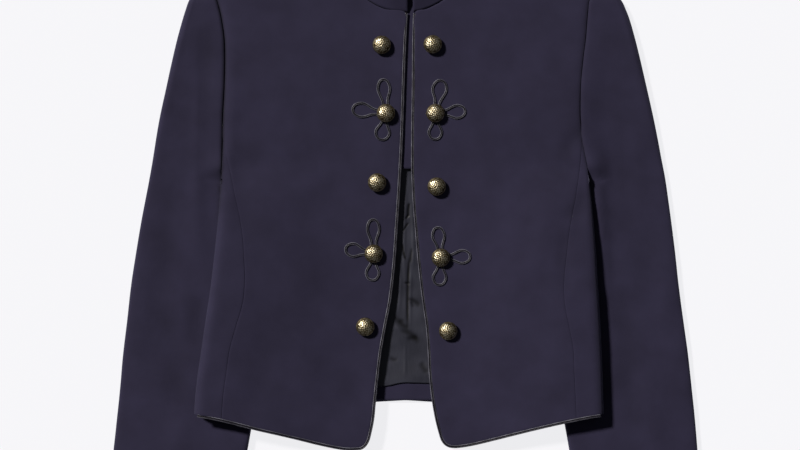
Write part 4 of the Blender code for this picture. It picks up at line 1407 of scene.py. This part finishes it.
@dataclass
class Inside(Maker):
    """Underlap, back lining and back hem facing, seen between the fronts.

    Attributes:
        solid_lining: thickness of the lining's solid, whose top the finer sheet keeps to.
        solid_facing: thickness of the facing's solid.
        hem_overhang: how far the lining's hem hangs over the facing.
        hem_lift: how high the hem stands off the facing.
        hem_rise: length of the lining's rise onto the facing, and where it starts.
        hem_curve: how far the hem lies from a straight line, by x.
    """

    underlap_y: tuple[float, float] = (64.0, 258.0)
    underlap_x: tuple[float, float] = (-13.0, 21.0)
    underlap_wall: float = 1.6
    underlap_rows: int = 12
    underlap_creases: tuple[Crease, ...] = (Crease((2.0, 250.0), (3.5, 60.0), 1.2, -0.5),)
    lining_y: tuple[float, float] = (-166.4, 92.0)
    lining_half: tuple[float, float] = (52.0, 34.0)
    lining_wall: float = 0.8
    lining_rows: int = 40
    lining_swell: Swell = Swell(48.0, 0.45, 2.1)
    facing_half: float = 58.0
    facing_wall: float = 1.4
    facing_rows: int = 4
    solid_lining: float = 1.2
    solid_facing: float = 1.6
    hem_overhang: float = 2.6
    hem_lift: float = 0.7
    hem_rise: tuple[float, float] = (28.0, -138.0)
    hem_curve: Table = ((-52.0, -4.0), (-20.0, -2.4), (-10.0, 0.2), (-2.0, 1.6), (10.0, 1.3), (30.0, 0.6),
                        (52.0, 0.0))
    lining_creases = creases_from(
        (3.9, 27.0, 3.2, 12.0, 1.1, -0.9, 0.3, 1.0), (3.4, 14.0, 0.0, 10.0, 0.9, -0.8, 0.0, 1.0),
        (3.4, 5.5, -2.6, -3.5, 0.9, -0.7, 0.4, 1.0), (-3.6, -17.0, 0.2, -34.0, 1.0, -0.9, 0.6, 1.0),
        (6.8, -22.0, 5.4, -38.0, 1.2, -0.5, 0.0, 1.0), (3.9, -32.0, 2.2, -106.0, 1.2, -0.8, 0.6, 1.0),
        (-1.2, -59.0, 4.4, -60.4, 0.9, -0.6, 0.0, 1.0),
        (3.0, -77.0, 15.5, -84.5, 2.6, -0.42, -1.6, 1.0), (5.5, -80.0, 9.0, -86.0, 1.6, -0.3, 0.0, 1.0),
        (-12.0, -95.0, 3.4, -108.5, 3.0, -0.42, 2.0, 1.0),
        (-7.0, -100.0, -1.0, -101.0, 2.4, -0.25, 0.0, 1.0),
        (-4.6, -110.5, 15.0, -124.0, 3.2, -0.42, -2.4, 1.0),
        (2.0, -120.0, 13.0, -119.0, 2.6, -0.3, 0.0, 1.0),
        (-17.0, -140.5, -9.0, -143.0, 2.2, -0.35, 0.8, 1.0),
        (17.0, -145.0, 24.0, -157.0, 3.4, -0.4, 1.0, 1.0), (0.8, 44.0, -0.8, -60.0, 1.6, 0.7, 1.2),
        (7.0, 24.0, 8.2, -44.0, 1.4, 0.6, -0.8), (6.0, -46.0, 5.4, -104.0, 1.6, 0.6, 0.5),
        (-6.0, -34.0, -7.5, -92.0, 2.0, 0.7, -1.2), (-11.0, -106.0, 4.0, -119.0, 2.2, 0.6, 1.0),
        (-0.2, -126.0, -0.2, -160.0, 1.2, 0.45, 0.2),
    )

    underlap_middle = (4.0, 161.0)
    points_across = 13
    # Width and length of each cut in metres, and its area in square metres
    underlap_cut = ((0.034, 0.194), 0.0066)
    lining_cut = ((0.104, 0.266), 0.0226)
    facing_cut = ((0.116, 0.0204), 0.00236)

    @classmethod
    def level_rows(
        cls, ends: Callable[[float], tuple[float, float]], ys: np.ndarray,
        height: Callable[[float], float],
    ) -> list[list[Point]]:
        """Rows of a level piece.

        Args:
            ends: gives the ends of a row from its y.
            ys: the rows.
            height: gives the height of the top face from y.

        Returns:
            The outer points by row.
        """
        return [[(x, y, height(y)) for x in np.linspace(*ends(y), cls.points_across)] for y in ys]

    def on_facing(self, y: float) -> float:
        """How far the lining has risen onto the facing at a height, from 0 to 1."""
        return smoothstep((self.hem_rise[1] - y) / self.hem_rise[0])

    def build(self) -> None:
        """Make the three pieces."""
        cut, made = self.pattern, self.finishes
        above_back = cut.cloth + SEAM_GAP
        on_back = ("back_right", "back_left")
        rows = self.level_rows(
            lambda y: self.underlap_x, np.linspace(*self.underlap_y, self.underlap_rows),
            lambda y: read(cut.height_rows, y, 1) - cut.cloth - SEAM_GAP)
        ClothSheet(
            "underlap", rows, self.underlap_wall, 1, made.wool, *self.underlap_cut, ("back_lining",),
            self.underlap_creases, spacing=2.5,
        ).build(self.shift)
        half = partial(np.interp, xp=self.lining_y, fp=self.lining_half)
        climb = self.solid_facing + self.lining_wall + self.hem_lift - self.solid_lining
        low = self.lining_y[0] - self.hem_overhang
        rows = self.level_rows(
            lambda y: (-half(y), half(y)), np.linspace(low, self.lining_y[1], self.lining_rows),
            lambda y: above_back + self.solid_lining + climb * self.on_facing(y))
        rows = [[(x, y + read(self.hem_curve, x, 1) * self.on_facing(y), z) for x, y, z in row]
                for row in rows]
        ClothSheet(
            "back_lining", rows, self.lining_wall, 1, made.satin, *self.lining_cut, on_back,
            (self.lining_swell,) + self.lining_creases, rolled=(0.0, 0.3, 0.0, 0.0), spacing=1.15,
            full_hollow=0.55,
        ).build(self.shift)
        hem = np.linspace(cut.back_hem[0] + HALF_GAP, self.lining_y[0] - SEAM_GAP, self.facing_rows)
        rows = self.level_rows(lambda y: (-self.facing_half, self.facing_half), hem,
                               lambda y: above_back + self.solid_facing)
        ClothSheet(
            "back_hem_facing", rows, self.facing_wall, 1, made.wool, *self.facing_cut, on_back,
            spacing=2.5,
        ).build(self.shift)


def even_path(points: np.ndarray, step: float, closed: bool) -> np.ndarray:
    """Even points on a smooth line through the given ones.

    Args:
        points: the line's points.
        step: distance between the new points.
        closed: whether the line returns to its start.

    Returns:
        The new points.
    """
    ring = np.concatenate((points[-2:], points, points[:3])) if closed else points
    ring = smooth_line(ring, LINE_CUTS)
    if closed:
        ring = ring[2 * LINE_CUTS:(2 + len(points)) * LINE_CUTS + 1]
    along = np.insert(np.cumsum(np.linalg.norm(np.diff(ring, axis=0), axis=1)), 0, 0.0)
    count = max(LEAST_STRETCHES, round(along[-1] / step))
    where = np.linspace(0.0, along[-1], count + 1)
    made = np.stack([np.interp(where, along, ring[:, axis]) for axis in range(3)], axis=1)
    return made[:-1] if closed else made


@dataclass
class Braid:
    """Soutache braid: two plaited ridges side by side, swept along a line.

    Attributes:
        radius: radius of each ridge.
        plait: length of one crossing.
        depth: how deep the crossings are, as a share of the radius.
        step: distance between rings.
        arc: points round each ridge.
        waist: half the angle at which the two ridges join.
        gleam: angle above the outer side at which each ridge's painted highlight is brightest.
    """

    radius: float = 0.8
    plait: float = 1.5
    depth: float = 0.13
    step: float = 0.42
    arc: int = 12
    waist: float = math.radians(15.0)
    gleam: float = math.radians(48.0)
    gleam_power: int = 8

    # Mesh layer of the painted highlight on the ridges
    crown_layer = "crown"

    def sweep(
        self, node: str, route: np.ndarray, closed: bool, finish: Finish, shift: Vector
    ) -> None:
        """Sweep the braid along a route.

        Args:
            node: CAD node that it stands for.
            route: middle of the braid, in millimetres.
            closed: whether it returns to its start.
            finish: its finish.
            shift: where the pattern's origin lies in the frame.
        """
        path = even_path(route, self.step, closed)
        if closed:
            ahead, behind = np.roll(path, -1, axis=0), np.roll(path, 1, axis=0)
            tangent = ahead - behind
        else:
            tangent = np.gradient(path, axis=0)
        tangent /= np.linalg.norm(tangent, axis=1, keepdims=True)
        side = np.stack((tangent[:, 1], -tangent[:, 0], np.zeros(len(path))), axis=1)
        side /= np.linalg.norm(side, axis=1, keepdims=True)
        up = np.cross(side, tangent)
        angles = np.linspace(-math.pi + self.waist, math.pi - self.waist, self.arc)
        around = np.concatenate((angles, angles + math.pi))
        lobe = np.repeat((1.0, -1.0), self.arc)
        run = np.arange(len(path))[:, None] * self.step
        crossing = 2.0 * math.pi * run / self.plait + around[None] * lobe[None]
        radius = self.radius * (1.0 + self.depth * np.cos(crossing))
        across = lobe[None] * self.radius * math.cos(self.waist) + radius * np.cos(around)[None]
        rise = radius * np.sin(around)[None]
        points = path[:, None] + side[:, None] * across[..., None] + up[:, None] * rise[..., None]
        faces = grid_faces(len(path), len(around), wrap=True, close=closed)
        if not closed:
            faces += end_faces(len(path), len(around))
        points = points.reshape(-1, 3) * MM + np.array(shift)
        made = mesh_object(f"{node}_braid", points, faces, finish.material)
        # Painted highlight: a mask, strongest at each ridge's gleam angle, that the braid's material
        # lightens
        gleam = np.where(lobe > 0, self.gleam, math.pi - self.gleam)
        crown = np.clip(np.cos(around - gleam), 0.0, 1.0) ** self.gleam_power
        store(made, self.crown_layer, np.tile(crown, len(path)))
        finish.put_on(made, node)
        log.info("%s: %.0f mm of braid", made.name, len(path) * self.step)


@dataclass
class Trim(Maker):
    """Braid along the fronts' edges and hems, and the trefoil loops round the buttons.

    Attributes:
        edge_middle: how far the edge braid's middle lies inside the front's edge.
        sink: how far it lies below the front's top face.
        neck_stop: distance of its upper end from the neck.
        side_stop: distance of its other end from the side fold.
        loop_rise: height of the loops' middle over the cloth, as a share of a ridge's radius.
        loop_step: distance between the points at which a loop is laid on the cloth.
        frogs: side, button, and the tip and width of the upward, outward and downward loop.
    """

    edge_braid = Braid(radius=0.85)
    loop_braid = Braid(radius=0.7, step=0.36)
    edge_middle: float = 1.7
    sink: float = 0.75
    neck_stop: float = 1.4
    side_stop: float = 4.0
    end_drop: float = 1.0
    crotch_radius: float = 5.2
    crotch_angles: tuple[float, float, float] = (180.0, 45.0, -45.0)
    leg_half: float = 2.7
    leg_share: float = 0.34
    belly_share: float = 0.72
    tip_share: float = 0.95
    tip_part: float = 0.6
    loop_rise: float = 0.8
    loop_step: float = 3.0
    frogs: tuple[tuple[Side, int, tuple[Point, Point, Point]], ...] = (
        (Side.RIGHT, 2, ((-3.2, 36.6, 13.0), (-36.0, 5.0, 15.0), (-5.2, -28.3, 15.0))),
        (Side.LEFT, 2, ((6.0, 35.6, 15.0), (32.0, 2.4, 14.0), (-0.4, -28.0, 14.0))),
        (Side.RIGHT, 4, ((-0.8, 37.0, 13.0), (-30.4, 5.6, 14.0), (-1.8, -28.4, 14.0))),
        (Side.LEFT, 4, ((-3.6, 32.6, 13.0), (31.6, 1.4, 14.0), (-1.9, -29.4, 14.0))),
    )

    def edge(self, side: Side) -> None:
        """Braid down the front edge, round the corner and along the hem to the side fold."""
        cut = self.pattern
        edge, hem = cut.front_outline(side, self.edge_middle)
        edge[0].y -= self.neck_stop
        end = cut.side_edge(hem[-1].y, side) - self.side_stop
        last = Vector((side.value * end, cut.hem_height(hem, end)))
        line = edge + [p for p in hem if abs(p.x) < end][1:] + [last]
        route = [[p.x, p.y, cut.front_top(p.x, p.y, side) - self.sink] for p in line]
        route[-1][2] -= self.end_drop
        node = f"piping_{side.word}"
        self.edge_braid.sweep(node, np.array(route), False, self.finishes.braid, self.shift)

    def loop_route(self, loops: tuple[Point, Point, Point], sign: int) -> list[Vector]:
        """Plan route of one braid round its three loops, from the button's centre."""
        points = []
        for before, (x, y, width) in zip(self.crotch_angles, loops):
            angle = math.radians(before)
            tip = Vector((x, y))
            across = Vector((y, -x)).normalized() * sign
            points.append(Vector((sign * math.cos(angle), math.sin(angle))) * self.crotch_radius)
            shares = ((self.leg_share, self.leg_half), (self.belly_share, width / 2.0),
                      (self.tip_share, width / 2.0 * self.tip_part))
            points += [tip * along - across * half for along, half in shares]
            points.append(tip)
            points += [tip * along + across * half for along, half in reversed(shares)]
        return points

    def frog(
        self, side: Side, number: int, loops: tuple[Point, Point, Point], place: tuple[float, float],
        front: BVHTree,
    ) -> None:
        """Lay one braid in three loops on the front, round a button.

        Args:
            side: the wearer's side.
            number: the button's number from the neck.
            loops: tip and width of each loop.
            place: plan place of the button.
            front: search tree of the front's surface.
        """
        line = self.loop_route(loops, side.value)
        plan = np.array([(p.x + place[0], p.y + place[1], 0.0) for p in line])
        route = even_path(plan, self.loop_step, True)
        for point in route:
            level = top_of(front, point[0], point[1], self.shift) / MM
            point[2] = level + self.loop_braid.radius * self.loop_rise
        node = f"frog_{side.word}_{number}"
        self.loop_braid.sweep(node, route, True, self.finishes.braid, self.shift)


@dataclass
class DomeButton(Maker):
    """A pressed brass dome on a shank, with a dimpled crown and a roped rim.

    Attributes:
        radius: radius of the dome.
        above_cloth: gap between the shank and the cloth.
        around: points round the dome.
        knob_share: how much of a dimple's size its raised knob takes.
        crown_edge: share of the radius over which the dimples end.
        rope_lean: how far the rim's strands lean, in radians from the centre to the rim.
        rope_middle: middle of the roped rim, as a share of the radius.
        rope_half: half-width of the roped rim, as a share of the radius.
        plain_points: points of the profile's back and shank, which have no relief.
        outward: share of the relief that moves the dome's steep parts outwards.
        upright: how much less the steep parts rise.
        profile: share of the radius and height, from the crown over the rim to the back.
        places: right x and y, left x and y of each pair, from the neck down.
    """

    radius: float = 10.0
    shank_radius: float = 3.0
    shank_height: float = 2.7
    above_cloth: float = 0.3
    around: int = 96
    dimples: int = 46
    dimple_depth: float = 0.42
    dimple_size: float = 1.75
    crown_share: float = 0.8
    knob_share: float = 0.62
    crown_edge: float = 0.05
    crown_past: float = 0.02
    rope_turns: int = 38
    rope_height: float = 0.28
    rope_lean: float = 9.0
    rope_middle: float = 0.91
    rope_half: float = 0.055
    rope_from: float = 0.4
    plain_points: int = 8
    profile_cuts: int = 5
    outward: float = 0.7
    upright: float = 0.5
    worn_share: float = 0.42
    turns: tuple[float, float] = (0.9, 2.3)
    profile: Table = ((0.02, 6.0), (0.26, 5.75), (0.50, 5.1), (0.70, 4.1), (0.84, 2.9), (0.94, 1.7),
                      (1.0, 0.9), (0.94, 0.0))
    places: Table = (
        (-25.6, 197.6, 29.4, 198.2), (-21.1, 123.9, 32.3, 123.9), (-30.6, 49.1, 33.7, 44.7),
        (-34.3, -27.8, 38.1, -32.0), (-43.4, -106.5, 46.1, -111.0),
    )

    height_layer = "worn_height"

    def place(self, side: Side, number: int) -> tuple[float, float]:
        """Plan place of a button."""
        first = side.column(0, 2)
        return self.places[number - 1][first:first + 2]

    def relief(self, x: np.ndarray, y: np.ndarray) -> np.ndarray:
        """Height of the pressed pattern at plan points, from 0 in the hollows to 1 on the crowns."""
        index = np.arange(self.dimples) + 0.5
        far = np.sqrt(index / self.dimples) * self.radius * self.crown_share
        turn = index * math.pi * (3.0 - math.sqrt(5.0))
        gaps = np.hypot(x[..., None] - far * np.cos(turn), y[..., None] - far * np.sin(turn)).min(axis=-1)
        knob = np.clip(1.0 - (gaps / (self.dimple_size * self.knob_share)) ** 2, 0.0, 1.0)
        share = np.hypot(x, y) / self.radius
        crown = np.clip((self.crown_share + self.crown_past - share) / self.crown_edge, 0.0, 1.0)
        rope = 0.5 + 0.5 * np.cos(np.arctan2(y, x) * self.rope_turns + share * self.rope_lean)
        ring = np.exp(-(((share - self.rope_middle) / self.rope_half) ** 2))
        return knob * crown + rope * ring

    def build(self, side: Side, number: int, front: BVHTree) -> None:
        """Make one button and stand it on the front.

        Args:
            side: the wearer's side.
            number: its number from the neck.
            front: search tree of the front's surface.
        """
        node = f"button_{side.word}_{number}"
        line = np.array([(share * self.radius, 0.0, height) for share, height in self.profile])
        line = smooth_line(line, self.profile_cuts)
        shank = [(self.shank_radius, 0.0, z) for z in (0.0, -self.shank_height)]
        line = np.concatenate((line, shank))
        angle = np.arange(self.around) / self.around * 2.0 * math.pi
        px = line[:, :1] * np.cos(angle)
        py = line[:, :1] * np.sin(angle)
        pz = np.repeat(line[:, 2:], self.around, axis=1)
        worn = self.relief(px, py)
        far = np.hypot(px, py)
        on_rope = far > self.radius * self.crown_share + self.rope_from
        lift = worn * np.where(on_rope, self.rope_height, self.dimple_depth)
        lift[len(line) - self.plain_points:] = 0.0
        slope = np.clip(far / self.radius, 0.0, 1.0)
        widen = 1.0 + lift * slope / self.radius * self.outward
        pz = pz + lift * (1.0 - self.upright * slope) + self.shank_height + self.above_cloth
        points = np.stack((px * widen, py * widen, pz), axis=2).reshape(-1, 3) * MM
        faces = grid_faces(len(line), self.around, wrap=True) + end_faces(len(line), self.around)
        faces = [face[::-1] for face in faces]
        made = mesh_object(f"{node}_dome", points, faces, self.finishes.brass.material)
        store(made, self.height_layer, worn * self.worn_share)
        x, y = self.place(side, number)
        level = top_of(front, x, y, self.shift)
        made.location = (x * MM + self.shift.x, y * MM + self.shift.y, level)
        made.rotation_euler.z = self.turns[0] * number + self.turns[1] * side.value
        self.finishes.brass.put_on(made, node)
        log.info("%s stands at %.1f mm", node, level / MM)


@dataclass
class Studio:
    """Pale floor, camera straight above, a sun from the upper left and a weak fill light."""

    middle: tuple[float, float] = (-0.00524, -0.00196)
    height: float = 2.052
    lens: float = 85.0
    sensor: float = 36.0
    floor_half: float = 4.0
    key_strength: float = 4.1
    key_spread: float = math.radians(7.5)
    key_azimuth: float = 140.0
    key_elevation: float = 38.0
    fill_power: float = 1.4
    fill_size: float = 1.8
    fill_place: tuple[float, float, float] = (0.5, 0.3, 2.6)
    world_strength: float = 0.05
    key_colour: str = "#fffaf4"
    fill_colour: str = "#f2f5ff"
    world_colour: str = "#f1f3fa"
    floor_drop: float = 0.2
    far_clip: float = 20.0

    def light(
        self, kind: str, place: tuple[float, float, float], energy: float, colour: str
    ) -> bpy.types.Light:
        """Add a light that looks at the jacket's middle.

        Args:
            kind: Blender's kind of light.
            place: where it stands.
            energy: its strength.
            colour: its sRGB hex colour.

        Returns:
            The light.
        """
        lamp = bpy.data.lights.new(f"{kind.lower()}_light", kind)
        lamp.energy = energy
        lamp.color = linear(colour)[:3]
        obj = bpy.data.objects.new(lamp.name, lamp)
        obj.location = place
        obj.rotation_euler = (-Vector(place)).to_track_quat("-Z", "Y").to_euler()
        bpy.context.scene.collection.objects.link(obj)
        return lamp

    def build(self) -> None:
        """Make the floor, the camera and the lights."""
        scene = bpy.context.scene
        signs = ((-1, -1), (1, -1), (1, 1), (-1, 1))
        points = np.array([(self.floor_half * x, self.floor_half * y, 0.0) for x, y in signs])
        floor = mesh_object("studio_floor", points, [(0, 1, 2, 3)], StudioPaper().build())
        floor.location.z = -self.floor_drop * MM

        lens = bpy.data.cameras.new("camera")
        lens.lens = self.lens
        lens.sensor_width = self.sensor
        lens.clip_end = self.far_clip
        camera = bpy.data.objects.new("camera", lens)
        camera.location = (*self.middle, self.height)
        scene.collection.objects.link(camera)
        scene.camera = camera

        azimuth, elevation = math.radians(self.key_azimuth), math.radians(self.key_elevation)
        flat = math.cos(elevation)
        key = (math.cos(azimuth) * flat, math.sin(azimuth) * flat, math.sin(elevation))
        self.light("SUN", key, self.key_strength, self.key_colour).angle = self.key_spread
        self.light("AREA", self.fill_place, self.fill_power, self.fill_colour).size = self.fill_size

        world = bpy.data.worlds.new("studio")
        world.use_nodes = True
        scene.world = world
        back = world.node_tree.nodes["Background"]
        settle(back, {"Color": linear(self.world_colour), "Strength": self.world_strength})
        scene.view_settings.view_transform = "Standard"


def main() -> None:
    """Build the studio and every piece of the jacket."""
    logging.basicConfig(level=logging.INFO, format="%(message)s", stream=sys.stdout)
    Studio().build()
    kit = (Pattern(), Finishes.make(), garment_shift())
    body, sleeves, trim, buttons = Body(*kit), Sleeves(*kit), Trim(*kit), DomeButton(*kit)
    for side in Side:
        sleeves.build(side)
        front = surface_of(body.build(side))
        trim.edge(side)
        for number in range(1, len(buttons.places) + 1):
            buttons.build(side, number, front)
        for frog_side, number, loops in trim.frogs:
            if frog_side is side:
                trim.frog(side, number, loops, buttons.place(side, number), front)
    Collar(*kit).build()
    Inside(*kit).build()


if __name__ == "__main__":
    main()
